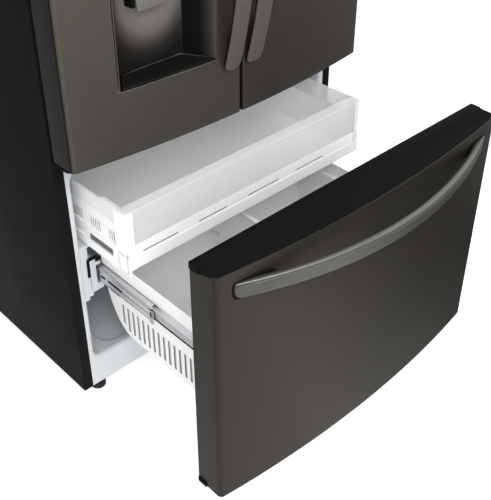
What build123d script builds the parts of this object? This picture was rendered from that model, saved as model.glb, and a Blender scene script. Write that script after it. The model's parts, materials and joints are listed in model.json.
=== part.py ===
from build123d import *
import math
import os

# Bottom freezer refrigerator: two hinged upper doors, a pull-out freezer drawer below.
# Millimetres, +Z up, front toward -Y, left door at -X.
# Every y below is counted from the plane of the case front; YF moves that plane so
# that the middle of the whole object's box, with the drawer pulled out, is the origin.

# ------------------------------------------------------------------ driving sizes
W2 = 454.0            # half width of case, doors and drawer front
CASE_Z0 = 29.0        # underside of the case sides
CASE_Z1 = 1749.0      # top of the case
CASE_D = 735.0        # depth of the case without doors
SHEET = 1.2           # sheet steel
RET = 27.0            # black front return of the sheet, each side
DOOR_BACK = -14.0     # back plane of doors and drawer front
EDGE_Y = -87.0        # front plane at the outer edges
BULGE = 35.0          # how far the fronts bow out at the middle
DOOR_Z0 = 746.0       # bottom of the upper doors
DOOR_Z1 = 1745.0      # top of the upper doors
GAP = 3.0             # half of the gap between the upper doors
DRW_Z0 = 100.0        # bottom of the drawer front
DRW_Z1 = 730.0        # top of the drawer front
DRAWER_OUT = 449.0    # pull-out of the drawer as shown
MID_OUT = DRAWER_OUT / 2.0
TRAY_OUT = 185.0      # pull-out of the upper tray as shown
STAND = 65.0          # how far a handle stands off at its middle
PIV_X = 438.0         # door hinge axis
PIV_Y = -50.0
PIN_R = 5.0
LIN = 412.0           # half width inside the liners
FZ_FLOOR = 120.0
FZ_TOP = 692.0
FR_FLOOR = 778.0
FR_TOP = 1695.0
RAIL_Z0, RAIL_Z1 = 357.0, 403.0
BASKET_Z0, BASKET_Z1 = 203.0, 446.0
TRAY_Z0, TRAY_Z1 = 495.0, 658.0
INLET_R = 5.6         # water inlet stub, 1/4 inch compression size

BOW_R = (W2 ** 2 + BULGE ** 2) / (2 * BULGE)
BOW_YC = EDGE_Y - BULGE + BOW_R
YF = -((EDGE_Y - BULGE - STAND - DRAWER_OUT) + CASE_D) / 2.0
DD = -DRAWER_OUT
MD = -MID_OUT
TD = -TRAY_OUT

os.makedirs("parts", exist_ok=True)


def bow(x, inset=0.0):
    """y of the bowed front at x, moved back by inset."""
    return BOW_YC - math.sqrt((BOW_R - inset) ** 2 - x * x)


def blk(x0, x1, y0, y1, z0, z1, dy=0.0, mode=Mode.ADD):
    """Rectangular block between two corners."""
    with Locations(((x0 + x1) / 2, YF + dy + (y0 + y1) / 2, (z0 + z1) / 2)):
        return Box(abs(x1 - x0), abs(y1 - y0), abs(z1 - z0), mode=mode)


def cylz(x, y, z0, z1, r, dy=0.0, mode=Mode.ADD):
    with Locations((x, YF + dy + y, (z0 + z1) / 2)):
        return Cylinder(r, abs(z1 - z0), mode=mode)


def cyly(x, z, y0, y1, r, dy=0.0, mode=Mode.ADD):
    with Locations(Location((x, YF + dy + (y0 + y1) / 2, z), (90, 0, 0))):
        return Cylinder(r, abs(y1 - y0), mode=mode)


def cylx(y, z, x0, x1, r, dy=0.0, mode=Mode.ADD):
    with Locations(Location(((x0 + x1) / 2, YF + dy + y, z), (0, 90, 0))):
        return Cylinder(r, abs(x1 - x0), mode=mode)


def bow_face(z, x0, x1, yb, inset=0.0, r0=0.0, r1=0.0, dy=0.0):
    """Plan outline: straight back and sides, bowed front, rounded front corners."""
    with BuildSketch(Plane((0, YF + dy, z))) as s:
        with BuildLine():
            Polyline((x0, bow(x0, inset)), (x0, yb), (x1, yb), (x1, bow(x1, inset)))
            ThreePointArc(
                (x1, bow(x1, inset)),
                ((x0 + x1) / 2, bow((x0 + x1) / 2, inset)),
                (x0, bow(x0, inset)),
            )
        make_face()
        front_pts = s.vertices().sort_by(Axis.Y)[:2].sort_by(Axis.X)
        if r0:
            fillet(front_pts[0], r0)
        if r1:
            front_pts = s.vertices().sort_by(Axis.X)
            last = [v for v in s.vertices() if abs(v.X - x1) < 1e-6]
            fillet(min(last, key=lambda v: v.Y), r1)
    return s.sketch


def poly_yz(x, pts, dy=0.0):
    """Side-view outline (y, z) in the plane at x; extrudes toward +X."""
    pl = Plane(origin=(x, YF + dy, 0), x_dir=(0, 1, 0), z_dir=(1, 0, 0))
    with BuildSketch(pl) as s:
        with BuildLine():
            Polyline(*pts, close=True)
        make_face()
    return s.sketch


def rect_xz(y, x0, x1, z0, z1, dy=0.0, r=0.0):
    """Front-view rectangle in the plane at y; extrudes toward the front."""
    pl = Plane(origin=(0, YF + dy + y, 0), x_dir=(1, 0, 0), z_dir=(0, -1, 0))
    with BuildSketch(pl) as s:
        with Locations(((x0 + x1) / 2, (z0 + z1) / 2)):
            if r:
                RectangleRounded(x1 - x0, z1 - z0, r)
            else:
                Rectangle(x1 - x0, z1 - z0)
    return s.sketch


def rect_xy(z, x0, x1, y0, y1, r, dy=0.0):
    """Plan rectangle with rounded corners in the plane at z."""
    with BuildSketch(Plane((0, YF + dy, z))) as s:
        with Locations(((x0 + x1) / 2, (y0 + y1) / 2)):
            RectangleRounded(x1 - x0, y1 - y0, r)
    return s.sketch


# ================================================================== the case
with BuildPart() as cabinet_wrap:
    # one bent sheet: left side, top, right side and the narrow front returns
    blk(-W2, W2, 0, CASE_D, CASE_Z0, CASE_Z1)
    blk(-W2 + SHEET, W2 - SHEET, SHEET, CASE_D + 1, 0, CASE_Z1 - SHEET, mode=Mode.SUBTRACT)
    blk(-W2 + RET, W2 - RET, -1, SHEET + 1, 0, CASE_Z1 - RET, mode=Mode.SUBTRACT)

with BuildPart() as rear_panel:
    blk(-W2 + SHEET, W2 - SHEET, CASE_D - 1.5, CASE_D, 306, CASE_Z1 - SHEET)
    # pressed stiffening swages
    for zc in (560, 820, 1080, 1340):
        blk(-360, 360, CASE_D - 3.0, CASE_D - 1.5, zc - 30, zc + 30)
        blk(-358, 358, CASE_D - 1.5, CASE_D + 1, zc - 28, zc + 28, mode=Mode.SUBTRACT)

# side-view outlines of the freezer tub: inside and outside
FZ_IN = [(-1, FZ_FLOOR), (455, FZ_FLOOR), (465, 292), (582, 318), (582, FZ_TOP), (-1, FZ_TOP)]
FZ_OUT = [(0, 108), (458.5, 108), (468, 289), (585, 315), (585, FZ_TOP + 3), (0, FZ_TOP + 3)]
BULK = [(484, 84), (493, 266), (733.5, 306)]

with BuildPart() as cabinet_foam:
    blk(-W2 + SHEET, W2 - SHEET, 3, 732, 84, CASE_Z1 - SHEET)
    extrude(poly_yz(-LIN - 3, [(-2, 108)] + FZ_OUT[1:-1] + [(-2, FZ_TOP + 3)]), amount=2 * LIN + 6, mode=Mode.SUBTRACT)
    blk(-LIN - 3, LIN + 3, -2, 645, FR_FLOOR - 3, FR_TOP + 3, mode=Mode.SUBTRACT)
    blk(-W2 + RET, W2 - RET, 0, 38, 716, 760, mode=Mode.SUBTRACT)
    extrude(poly_yz(-W2, [(484, 60)] + BULK + [(760, 306), (760, 60)]), amount=2 * W2, mode=Mode.SUBTRACT)

with BuildPart() as freezer_liner:
    blk(-W2 + RET, W2 - RET, 0, 3, CASE_Z0, 716)
    extrude(poly_yz(-LIN - 3, FZ_OUT), amount=2 * LIN + 6)
    extrude(poly_yz(-LIN, FZ_IN), amount=2 * LIN, mode=Mode.SUBTRACT)
    # shallow pressed recess in the floor
    extrude(rect_xy(FZ_FLOOR - 7, -357, 357, 30, 440, 34), amount=8, mode=Mode.SUBTRACT)
    for s in (-1, 1):
        # stepped boss that carries the drawer rail, and the ledge under the tray
        blk(s * (LIN + 1), s * 392, 2, 515, 330, 478)
        blk(s * (LIN + 1), s * 400, 2, 515, 311, 330)
        blk(s * 393, s * 380, 2, 515, 470, 478)
        # front bracket that hooks round the rail end
        blk(s * 393, s * 372, 4, 34, 411, 437)
        blk(s * 393, s * 372, 4, 34, 336, 350)
        blk(s * 393, s * 385, 4, 34, 322, 336)

with BuildPart() as fridge_liner:
    blk(-W2 + RET, W2 - RET, 0, 3, 760, CASE_Z1 - RET)
    blk(-LIN - 3, LIN + 3, 0, 645, FR_FLOOR - 3, FR_TOP + 3)
    blk(-LIN, LIN, -1, 642, FR_FLOOR, FR_TOP, mode=Mode.SUBTRACT)

with BuildPart() as centre_crossbar:
    blk(-W2 + RET, W2 - RET, 0, 38, 716, 760)
    blk(-W2 + RET + 3, W2 - RET - 3, 2, 39, 718, 758, mode=Mode.SUBTRACT)

with BuildPart() as base_frame:
    # front channel, side rails, bottom pan, rear roller plate, deck and bulkhead
    blk(-452, 452, 3, 43, 31, 84)
    blk(-453, 453, 6, 44, 34, 81, mode=Mode.SUBTRACT)
    for s in (-1, 1):
        blk(s * 452, s * 449, 3, 731, 31, 84)
        blk(s * 452, s * 425, 43, 731, 31, 34)
        blk(s * 386, s * 410, 10, 34, 33, 82)
        cylz(s * 398, 22, 20, 90, 6.05, mode=Mode.SUBTRACT)
    blk(-452, 452, 43, 484, 82.5, 84)
    extrude(poly_yz(-449.5, [(484, 60), (484, 84), (493, 266), (731, 305.5), (731, 304), (494.5, 264.5), (485.5, 84), (485.5, 60)]), amount=899)
    blk(-449.5, 449.5, 484, 487, 31, 62)
    blk(-452, 452, 484, 725, 31, 34)
    for s in (-1, 1):
        blk(s * 400, s * 420.4, 662, 718, 28, 36, mode=Mode.SUBTRACT)
        blk(s * 397, s * 399.5, 672, 708, 12, 34)
        blk(s * 420.9, s * 423.4, 672, 708, 12, 34)
        cylx(690, 24, s * 397, s * 423.4, 4)

with BuildPart() as machine_room_cover:
    blk(-449, 449, 732, 735, 62, 305)
    with Locations((60, YF + 733.5, 0)):
        with GridLocations(14, 1, 28, 1):
            with Locations((0, 0, 180)):
                Box(7, 8, 130, mode=Mode.SUBTRACT)
    blk(-398, -320, 728, 740, 60, 150, mode=Mode.SUBTRACT)
    # strain relief gland for the supply lead, moulded on the cover
    cyly(395, 110, 722, 735, 13)
    cyly(395, 110, 720, 740, 4.5, mode=Mode.SUBTRACT)

with BuildPart() as compressor:
    cylz(-225, 600, 62, 215, 86)
    fillet(compressor.edges().group_by(Axis.Z)[-1], 40)
    fillet(compressor.edges().group_by(Axis.Z)[0], 22)
    blk(-320, -130, 530, 670, 56, 62)
    blk(-225 - 30, -225 + 30, 500, 530, 110, 165)
    for px, py in ((-310, 540), (-140, 540), (-310, 660), (-140, 660)):
        cylz(px, py, 34, 58, 11)
    cylz(-170, 640, 190, 232, 4)

with BuildPart() as condenser:
    for i in range(27):
        blk(85 + i * 8, 86.2 + i * 8, 520, 700, 40, 215)
    for k in range(5):
        for j in range(4):
            cylx(542 + j * 45, 60 + k * 34, 80, 300, 4)
    blk(72, 75, 505, 720, 34, 230)
    blk(75, 90, 505, 508, 34, 230)
    blk(75, 300, 520, 700, 34, 41)
    blk(298, 301, 520, 700, 34, 215)
    cylx(610, 132, 70, 77, 74, mode=Mode.SUBTRACT)
    blk(75, 90, 507, 521, 60, 70)

with BuildPart() as condenser_fan_motor:
    cylx(610, 132, 2, 34, 24)
    cylx(610, 132, 30, 62, 2.5)
    blk(-2, 6, 596, 624, 34, 132)
    blk(-2, 34, 596, 624, 34, 38)

with BuildPart() as condenser_fan:
    cylx(610, 132, 40, 60, 20)
    with Locations(Location((50, YF + 610, 132), (0, 90, 0))):
        with PolarLocations(42, 5):
            Box(50, 32, 3, rotation=(32, 0, 0))
    cylx(610, 132, 36, 66, 2.55, mode=Mode.SUBTRACT)

with BuildPart() as evaporator_cover:
    blk(-LIN + 0.5, LIN - 0.5, 518, 581.5, 324, FZ_TOP - 1)
    blk(-LIN + 3, LIN - 3, 521, 583, 327, FZ_TOP - 4, mode=Mode.SUBTRACT)
    cyly(0, 612, 515, 524, 62, mode=Mode.SUBTRACT)
    for k in range(3):
        blk(-300, 300, 515, 524, 345 + 22 * k, 355 + 22 * k, mode=Mode.SUBTRACT)
    # guard bars over the fan and the arm that carries its motor
    for dx in (-36, -18, 0, 18, 36):
        blk(dx - 1.5, dx + 1.5, 518, 521, 548, 676)
    cyly(0, 612, 560, 581.5, 22)
    cyly(0, 612, 530, 562, 2.5)
    blk(-LIN + 2, LIN - 2, 574, 581, 606, 618)

with BuildPart() as evaporator_fan:
    cyly(0, 612, 536, 556, 17)
    with Locations(Location((0, YF + 546, 612), (90, 0, 0))):
        with PolarLocations(34, 5):
            Box(40, 26, 2.5, rotation=(30, 0, 0))
    cyly(0, 612, 530, 562, 2.55, mode=Mode.SUBTRACT)

with BuildPart() as evaporator:
    for i in range(41):
        blk(-330 + i * 16.4, -328.8 + i * 16.4, 528, 574, 350, 520)
    for k in range(6):
        cylx(540, 364 + k * 28, -345, 345, 4)
        cylx(562, 364 + k * 28, -345, 345, 4)
    blk(-347, -344, 526, 576, 328, 524)
    blk(344, 347, 526, 576, 328, 524)

SHELVES = [(-404, -8, 150, 1450), (8, 404, 130, 1500), (-404, 404, 130, 1215), (-404, 404, 112, 1008)]
with BuildPart() as shelf_glass:
    for x0, x1, y0, z0 in SHELVES:
        blk(x0 + 7, x1 - 7, y0, 612, z0, z0 + 4)

with BuildPart() as shelf_frames:
    for x0, x1, y0, z0 in SHELVES:
        blk(x0, x1, y0 - 9, y0, z0 - 10, z0 + 6)
        for xs in (x0, x1 - 7):
            blk(xs, xs + 7, y0, 642, z0 - 18, z0 + 6)
        blk(x0, x1, 612, 620, z0 - 10, z0 + 12)

with BuildPart() as crisper_drawers:
    for x0, x1 in ((-402, -5), (5, 402)):
        blk(x0, x1, 108, 600, FR_FLOOR, 985)
        blk(x0 + 3, x1 - 3, 112, 597, FR_FLOOR + 3, 990, mode=Mode.SUBTRACT)
        blk(x0 + 60, x1 - 60, 98, 108.5, 950, 984)
        blk(x0 + 63, x1 - 63, 101, 109, 945, 975, mode=Mode.SUBTRACT)

with BuildPart() as top_hinges:
    for s in (-1, 1):
        with BuildSketch(Plane((0, YF, CASE_Z1))):
            with BuildLine():
                Polyline((s * 452, -50), (s * 452, 70), (s * 395, 70), (s * 395, 10), (s * 424, -30), (s * 424, -50))
                ThreePointArc((s * 424, -50), (s * 438, -64), (s * 452, -50))
            make_face()
        extrude(amount=4)
        cylz(s * PIV_X, PIV_Y, 1722, CASE_Z1, PIN_R)

with BuildPart() as hinge_covers:
    for s in (-1, 1):
        blk(s * 454, s * 385, -66, 108, CASE_Z1 + 4, CASE_Z1 + 30)
        blk(s * 454, s * 385, 72, 108, CASE_Z1, CASE_Z1 + 4)
        blk(s * 451.5, s * 387.5, -63.5, 105.5, CASE_Z1 - 1, CASE_Z1 + 27.5, mode=Mode.SUBTRACT)
    top_edges = hinge_covers.edges().group_by(Axis.Z)[-1]
    fillet(top_edges, 2.2)

with BuildPart() as centre_hinges:
    for s in (-1, 1):
        with BuildSketch(Plane((0, YF, 734.5))):
            with BuildLine():
                Polyline((s * 452, -50), (s * 452, 0), (s * 408, 0), (s * 424, -40), (s * 424, -50))
                ThreePointArc((s * 424, -50), (s * 438, -64), (s * 452, -50))
            make_face()
        extrude(amount=4)
        blk(s * 453, s * 437, -2.5, 0, 690, 738.5)
        cylz(s * PIV_X, PIV_Y, 738.5, 770, PIN_R)
        cylz(s * PIV_X, PIV_Y, 738.5, 747.7, 9)

with BuildPart() as screws:
    # hexagon head screws of the top hinges and of the rear cover
    for s in (-1, 1):
        for px, py in ((410, 22), (436, 22), (410, 52), (436, 52)):
            with BuildSketch(Plane((s * px, YF + py, CASE_Z1 + 4))):
                RegularPolygon(6, 6)
            extrude(amount=5)
        for zc in (100, 270):
            cyly(s * 435, zc, CASE_D, CASE_D + 1.8, 5)

with BuildPart() as water_valve:
    blk(-392, -326, 700, 703, 34, 140)
    blk(-379, -341, 690, 716, 84, 128)
    cyly(-360, 106, 715, 719, 12)
    cyly(-360, 106, 718, 735, INLET_R)
    cyly(-360, 106, 722, 740, 3.2, mode=Mode.SUBTRACT)
    blk(-374, -346, 660, 691, 90, 122)

with BuildPart() as rails_fixed:
    for s in (-1, 1):
        blk(s * 392, s * 389.5, 8, 512, 352, 408)
        blk(s * 392, s * 373, 8, 512, 405.5, 408)
        blk(s * 392, s * 373, 8, 512, 352, 354.5)

# ================================================================== feet and rollers
with BuildPart() as foot_left:
    cylz(-398, 22, 12, 74, 6.0)
    cylz(-398, 22, 0, 17, 20)
    with BuildSketch(Plane((-398, YF + 22, 17))):
        RegularPolygon(11, 6)
    extrude(amount=8)
    chamfer(foot_left.edges().group_by(Axis.Z)[0], 1.5)

with BuildPart() as foot_right:
    mirror(foot_left.part, about=Plane.YZ)

with BuildPart() as roller_left:
    cylx(690, 24, -419.6, -401, 24)
    fillet(roller_left.edges().filter_by(GeomType.CIRCLE), 2)
    cylx(690, 24, -421, -399, 4.08, mode=Mode.SUBTRACT)

with BuildPart() as roller_right:
    mirror(roller_left.part, about=Plane.YZ)

# ================================================================== left door
CI = 10.8             # inner corner radius of the skins
with BuildPart() as left_door_skin:
    extrude(bow_face(DOOR_Z0, -W2, -GAP, DOOR_BACK, 0, 12, 6), amount=DOOR_Z1 - DOOR_Z0)
    extrude(bow_face(DOOR_Z0 - 1, -W2 + SHEET, -GAP - SHEET, DOOR_BACK + 1, SHEET, CI, 4.8), amount=DOOR_Z1 - DOOR_Z0 + 2, mode=Mode.SUBTRACT)


def alcove(g, z0, z1, yb, yf=-123.0):
    """Dispenser alcove: a space that narrows toward the back, grown by g."""
    fx0, fx1 = -328.0 + (-103.7 - yf) * -0.868, -70.0
    pl_f = Plane(origin=(0, YF + yf, 0), x_dir=(1, 0, 0), z_dir=(0, -1, 0))
    pl_b = Plane(origin=(0, YF + yb, 0), x_dir=(1, 0, 0), z_dir=(0, -1, 0))
    with BuildPart(mode=Mode.PRIVATE) as a:
        with BuildSketch(pl_f):
            with Locations(((fx0 + fx1) / 2, (z0 + z1) / 2)):
                Rectangle(fx1 - fx0 + 2 * g, z1 - z0 + 2 * g)
        with BuildSketch(pl_b):
            with Locations(((-284 - 111) / 2, (z0 + z1) / 2)):
                Rectangle(173 + 2 * g, z1 - z0 + 2 * g)
        loft()
    return a.part


REC_Z0, REC_Z1 = 902.0, 1290.0
alcove_in = alcove(0.0, REC_Z0, REC_Z1, -40.0)
alcove_out = alcove(2.0, REC_Z0, REC_Z1, -38.0)

with BuildPart(mode=Mode.PRIVATE) as face_window:
    add(alcove_out)
    blk(-330, -68, -140, -88, REC_Z1 - 1, 1424)

with BuildPart() as left_skin_cut:
    add(left_door_skin.part)
    add(face_window.part, mode=Mode.SUBTRACT)
left_door_skin = left_skin_cut

with BuildPart() as left_door_caps:
    for za in (DOOR_Z0 + 2, DOOR_Z1 - 10):
        extrude(bow_face(za, -W2 + SHEET, -GAP - SHEET, -20, SHEET, CI, 4.8), amount=8)
    cylz(-PIV_X, PIV_Y, DOOR_Z0, DOOR_Z1, PIN_R + 0.08, mode=Mode.SUBTRACT)

with BuildPart() as left_door_foam:
    extrude(bow_face(DOOR_Z0 + 10, -W2 + SHEET, -GAP - SHEET, -20, SHEET, CI, 4.8), amount=DOOR_Z1 - DOOR_Z0 - 20)
    add(face_window.part, mode=Mode.SUBTRACT)
    cylz(-PIV_X, PIV_Y, DOOR_Z0, DOOR_Z0 + 40, 8, mode=Mode.SUBTRACT)
    cylz(-PIV_X, PIV_Y, DOOR_Z1 - 40, DOOR_Z1, 8, mode=Mode.SUBTRACT)

with BuildPart() as left_door_liner:
    blk(-W2 + SHEET, -GAP - SHEET, -20, -14.2, DOOR_Z0 + 2, DOOR_Z1 - 2)
    blk(-400, -52, -14.2, 35, 800, 1680)
    blk(-380, -72, -12, 36, 820, 1660, mode=Mode.SUBTRACT)
    fillet(left_door_liner.edges().filter_by(Axis.Y).filter_by(lambda e: e.center().Y > YF - 5), 8)
    # ears that carry the folding centre strip
    for za in (845, 1240, 1630):
        blk(-53, -27, -14.5, 13, za, za + 6)
    cylz(-33, 6.5, 840, 1640, 3.08, mode=Mode.SUBTRACT)

with BuildPart() as left_door_gasket:
    extrude(rect_xz(-0.5, -436, -6, 762, 1729, r=6), amount=13.7)
    extrude(rect_xz(0.5, -422, -20, 776, 1715, r=3), amount=15.7, mode=Mode.SUBTRACT)

with BuildPart() as dispenser_housing:
    add(alcove_out)
    add(alcove_in, mode=Mode.SUBTRACT)
    extrude(bow_face(880, -W2, 0, -20, -1.0), amount=430, mode=Mode.INTERSECT)
    # ears for the lever and the chute above it
    blk(-256, -250.5, -82, -58, 1188, 1290.5)
    blk(-157.5, -152, -82, -58, 1188, 1290.5)
    cylx(-69, 1200, -258, -150, 3.1, mode=Mode.SUBTRACT)
    blk(-240, -168, -102, -84, 1225, 1290.5)
    cylz(-204, -52, 1240, 1290.5, 7)

with BuildPart() as drip_tray:
    with BuildSketch(Plane((0, YF, REC_Z0))):
        with BuildLine():
            Polyline((-321, bow(-321, 3)), (-283, -43), (-115, -43), (-77, bow(-77, 3)))
            ThreePointArc((-77, bow(-77, 3)), (-199, bow(-199, 3)), (-321, bow(-321, 3)))
        make_face()
    extrude(amount=5)
    # shallow dish and the drain slits at its back
    with BuildSketch(Plane((0, YF, REC_Z0 + 5))):
        with BuildLine():
            Polyline((-312, -96), (-281, -48), (-117, -48), (-86, -108), close=True)
        make_face()
    extrude(amount=-2, mode=Mode.SUBTRACT)
    with Locations((-199, YF - 58, REC_Z0 + 3)):
        with GridLocations(11, 1, 9, 1):
            Box(3, 14, 4, mode=Mode.SUBTRACT)

with BuildPart() as dispenser_panel:
    extrude(bow_face(REC_Z1 + 3, -329, -69, -92, -0.6), amount=130)

with BuildPart() as dispenser_lever:
    blk(-246, -162, -72, -66, 1045, 1200)
    fillet(dispenser_lever.edges().filter_by(Axis.Y).group_by(Axis.Z)[0], 8)
    cylx(-69, 1200, -249.8, -158.2, 6)
    cylx(-69, 1200, -256, -152, 3.02)

with BuildPart() as ice_maker_box:
    blk(-379.5, -72.5, -12, 112, 1306, 1648)
    blk(-376.5, -75.5, -9, 109, 1309, 1645, mode=Mode.SUBTRACT)
    fillet(ice_maker_box.edges().filter_by(Axis.Z).group_by(Axis.Y)[-1], 10)
    blk(-250, -200, 112, 122, 1470, 1500)

with BuildPart() as left_door_bins:
    for za in (830, 1075):
        blk(-380, -72, -11, 98, za, za + 92)
        blk(-377.5, -74.5, -8.5, 95.5, za + 2.5, za + 100, mode=Mode.SUBTRACT)

with BuildPart() as left_door_handle:
    pl = Plane(origin=(-57, YF, 0), x_dir=(0, 1, 0), z_dir=(1, 0, 0))
    with BuildSketch(pl):
        with BuildLine():
            ThreePointArc((-130, 866), (-122 - STAND, 1245), (-130, 1624))
            Line((-130, 1624), (-119, 1624))
            Line((-119, 1624), (-119, 1588))
            ThreePointArc((-119, 1588), (-122 - STAND + 13, 1245), (-119, 902))
            Line((-119, 902), (-119, 866))
            Line((-119, 866), (-130, 866))
        make_face()
    extrude(amount=46)
    fillet(left_door_handle.edges().filter_by(Axis.Y), 16)
    extrude(bow_face(850, -70, -4, -100, 0), amount=790, mode=Mode.SUBTRACT)

with BuildPart() as mullion_flipper:
    blk(-39, -27, 6.5, 76, 790, 1680)
    fillet(mullion_flipper.edges().filter_by(Axis.Z), 4)
    cylz(-33, 6.5, 790, 1680, 6)
    for za in (845, 1240, 1630):
        blk(-60, -10, -20, 17, za - 0.5, za + 6.5, mode=Mode.SUBTRACT)
    cylz(-33, 6.5, 790, 1680, 3.0)

# ================================================================== right door
with BuildPart() as right_door_skin:
    extrude(bow_face(DOOR_Z0, GAP, W2, DOOR_BACK, 0, 6, 12), amount=DOOR_Z1 - DOOR_Z0)
    extrude(bow_face(DOOR_Z0 - 1, GAP + SHEET, W2 - SHEET, DOOR_BACK + 1, SHEET, 4.8, CI), amount=DOOR_Z1 - DOOR_Z0 + 2, mode=Mode.SUBTRACT)

with BuildPart() as right_door_caps:
    mirror(left_door_caps.part, about=Plane.YZ)

with BuildPart() as right_door_foam:
    extrude(bow_face(DOOR_Z0 + 10, GAP + SHEET, W2 - SHEET, -20, SHEET, 4.8, CI), amount=DOOR_Z1 - DOOR_Z0 - 20)
    cylz(PIV_X, PIV_Y, DOOR_Z0, DOOR_Z0 + 40, 8, mode=Mode.SUBTRACT)
    cylz(PIV_X, PIV_Y, DOOR_Z1 - 40, DOOR_Z1, 8, mode=Mode.SUBTRACT)

with BuildPart() as right_door_liner:
    blk(GAP + SHEET, W2 - SHEET, -20, -14.2, DOOR_Z0 + 2, DOOR_Z1 - 2)
    blk(52, 400, -14.2, 35, 800, 1680)
    blk(72, 380, -12, 36, 820, 1660, mode=Mode.SUBTRACT)
    fillet(right_door_liner.edges().filter_by(Axis.Y).filter_by(lambda e: e.center().Y > YF - 5), 8)

with BuildPart() as right_door_gasket:
    mirror(left_door_gasket.part, about=Plane.YZ)

with BuildPart() as right_door_handle:
    mirror(left_door_handle.part, about=Plane.YZ)

with BuildPart() as right_door_bins:
    for za in (830, 1075, 1330, 1520):
        blk(72, 380, -11, 98, za, za + 92)
        blk(74.5, 377.5, -8.5, 95.5, za + 2.5, za + 100, mode=Mode.SUBTRACT)

# ================================================================== freezer drawer
with BuildPart() as drawer_skin:
    extrude(bow_face(DRW_Z0, -W2, W2, DOOR_BACK, 0, 12, 12, dy=DD), amount=DRW_Z1 - DRW_Z0)
    extrude(bow_face(DRW_Z0 - 1, -W2 + SHEET, W2 - SHEET, DOOR_BACK + 1, SHEET, CI, CI, dy=DD), amount=DRW_Z1 - DRW_Z0 + 2, mode=Mode.SUBTRACT)

with BuildPart() as drawer_caps:
    # top cap with its raised and wider rear ledge, and the bottom cap
    extrude(bow_face(722, -W2 + SHEET, W2 - SHEET, -14.2, SHEET, CI, CI, dy=DD), amount=7.6)
    blk(-452.8, 452.8, -41, -14.2, 729, 732.5, dy=DD)
    extrude(bow_face(DRW_Z0 + 1, -W2 + SHEET, W2 - SHEET, -14.2, SHEET, CI, CI, dy=DD), amount=8)
    blk(-452.8, 452.8, -41, -14.2, DRW_Z0 - 2.5, DRW_Z0 + 2, dy=DD)
    for s in (-1, 1):
        blk(s * 456.5, s * 454, -41, -14.2, 716, 732.5, dy=DD)
        blk(s * 456.5, s * 451, -41, -14.2, 730, 732.5, dy=DD)
        blk(s * 456.5, s * 454, -41, -14.2, DRW_Z0 - 2.5, DRW_Z0 + 13, dy=DD)
        blk(s * 456.5, s * 451, -41, -14.2, DRW_Z0 - 2.5, DRW_Z0, dy=DD)

with BuildPart() as drawer_foam:
    extrude(bow_face(DRW_Z0 + 9, -W2 + SHEET, W2 - SHEET, -20, SHEET, CI, CI, dy=DD), amount=613)

with BuildPart() as drawer_liner:
    blk(-W2 + SHEET, W2 - SHEET, -20, -14.2, DRW_Z0 + 9, 722, dy=DD)
    blk(-335, 335, -14.2, -6, 140, 700, dy=DD)
    blk(-315, 315, -12, -5, 160, 680, dy=DD, mode=Mode.SUBTRACT)

with BuildPart() as drawer_gasket:
    extrude(rect_xz(-0.5, -436, 436, 103, 714, dy=DD, r=6), amount=13.7)
    extrude(rect_xz(0.5, -424, 424, 115, 702, dy=DD, r=3), amount=15.7, mode=Mode.SUBTRACT)

HA, HB = -412.0, 400.0   # ends of the drawer handle
HM = (HA + HB) / 2
with BuildPart() as drawer_handle:
    with BuildSketch(Plane((0, YF + DD, 660))):
        with BuildLine():
            ThreePointArc((HA, bow(HA) - 4), (HM, -122 - STAND), (HB, bow(HB) - 4))
            Line((HB, bow(HB) - 4), (HB, bow(HB) + 6))
            Line((HB, bow(HB) + 6), (HB - 40, bow(HB) + 6))
            ThreePointArc((HB - 40, bow(HB) + 6), (HM, -122 - STAND + 16.5), (HA + 40, bow(HA) + 6))
            Line((HA + 40, bow(HA) + 6), (HA, bow(HA) + 6))
            Line((HA, bow(HA) + 6), (HA, bow(HA) - 4))
        make_face()
    extrude(amount=37)
    fillet(drawer_handle.edges().filter_by(Axis.Y), 9)
    extrude(bow_face(640, -430, 430, -60, 0, dy=DD), amount=70, mode=Mode.SUBTRACT)

with BuildPart() as drawer_rail_arms:
    for s in (-1, 1):
        # sliding member, the ledge that carries the basket, and the front bracket
        blk(s * 366, s * 347, -12, 494, 366, 394, dy=DD)
        blk(s * 355.5, s * 347, -12, 470, 366, 404, dy=DD)
        blk(s * 366, s * 342, -14.2, -10, 340, 450, dy=DD)

# basket: closed-drawer y from -4 to 461
with BuildPart() as freezer_basket:
    BACK = 461.0
    outer = [(-4, 404), (-4, BASKET_Z0), (356, BASKET_Z0), (405, 214), (438, 243), (455, 282), (BACK, 330), (BACK, 404)]
    inner = [(-1.2, 407), (-1.2, BASKET_Z0 + 3), (355, BASKET_Z0 + 3), (403, 216.6), (435.6, 245), (452.2, 283), (BACK - 3, 331), (BACK - 3, 407)]
    extrude(poly_yz(-345, outer, dy=DD), amount=690)
    blk(-356, 356, -4, BACK, 404, BASKET_Z1, dy=DD)
    extrude(poly_yz(-342, inner, dy=DD), amount=684, mode=Mode.SUBTRACT)
    blk(-353, 353, -1.2, BACK - 3, 407, BASKET_Z1 + 1, dy=DD, mode=Mode.SUBTRACT)
    for i in range(18):
        blk(-360, 360, 392.5 - i * 20 - 3.5, 392.5 - i * 20 + 3.5, 240 if i == 0 else 224, 300, dy=DD, mode=Mode.SUBTRACT)

with BuildPart() as basket_divider:
    # plate across the basket with hooks over the front and rear rims
    blk(-1.5, 1.5, 2, 452, 300, 440, dy=DD)
    blk(-6, 6, 0, 457, 438, 444, dy=DD)
    blk(-6, 6, -4, 461, 446.5, 449.5, dy=DD)
    blk(-6, 6, 0, 2.5, 438, 449, dy=DD)
    blk(-6, 6, 455, 457, 438, 449, dy=DD)

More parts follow.
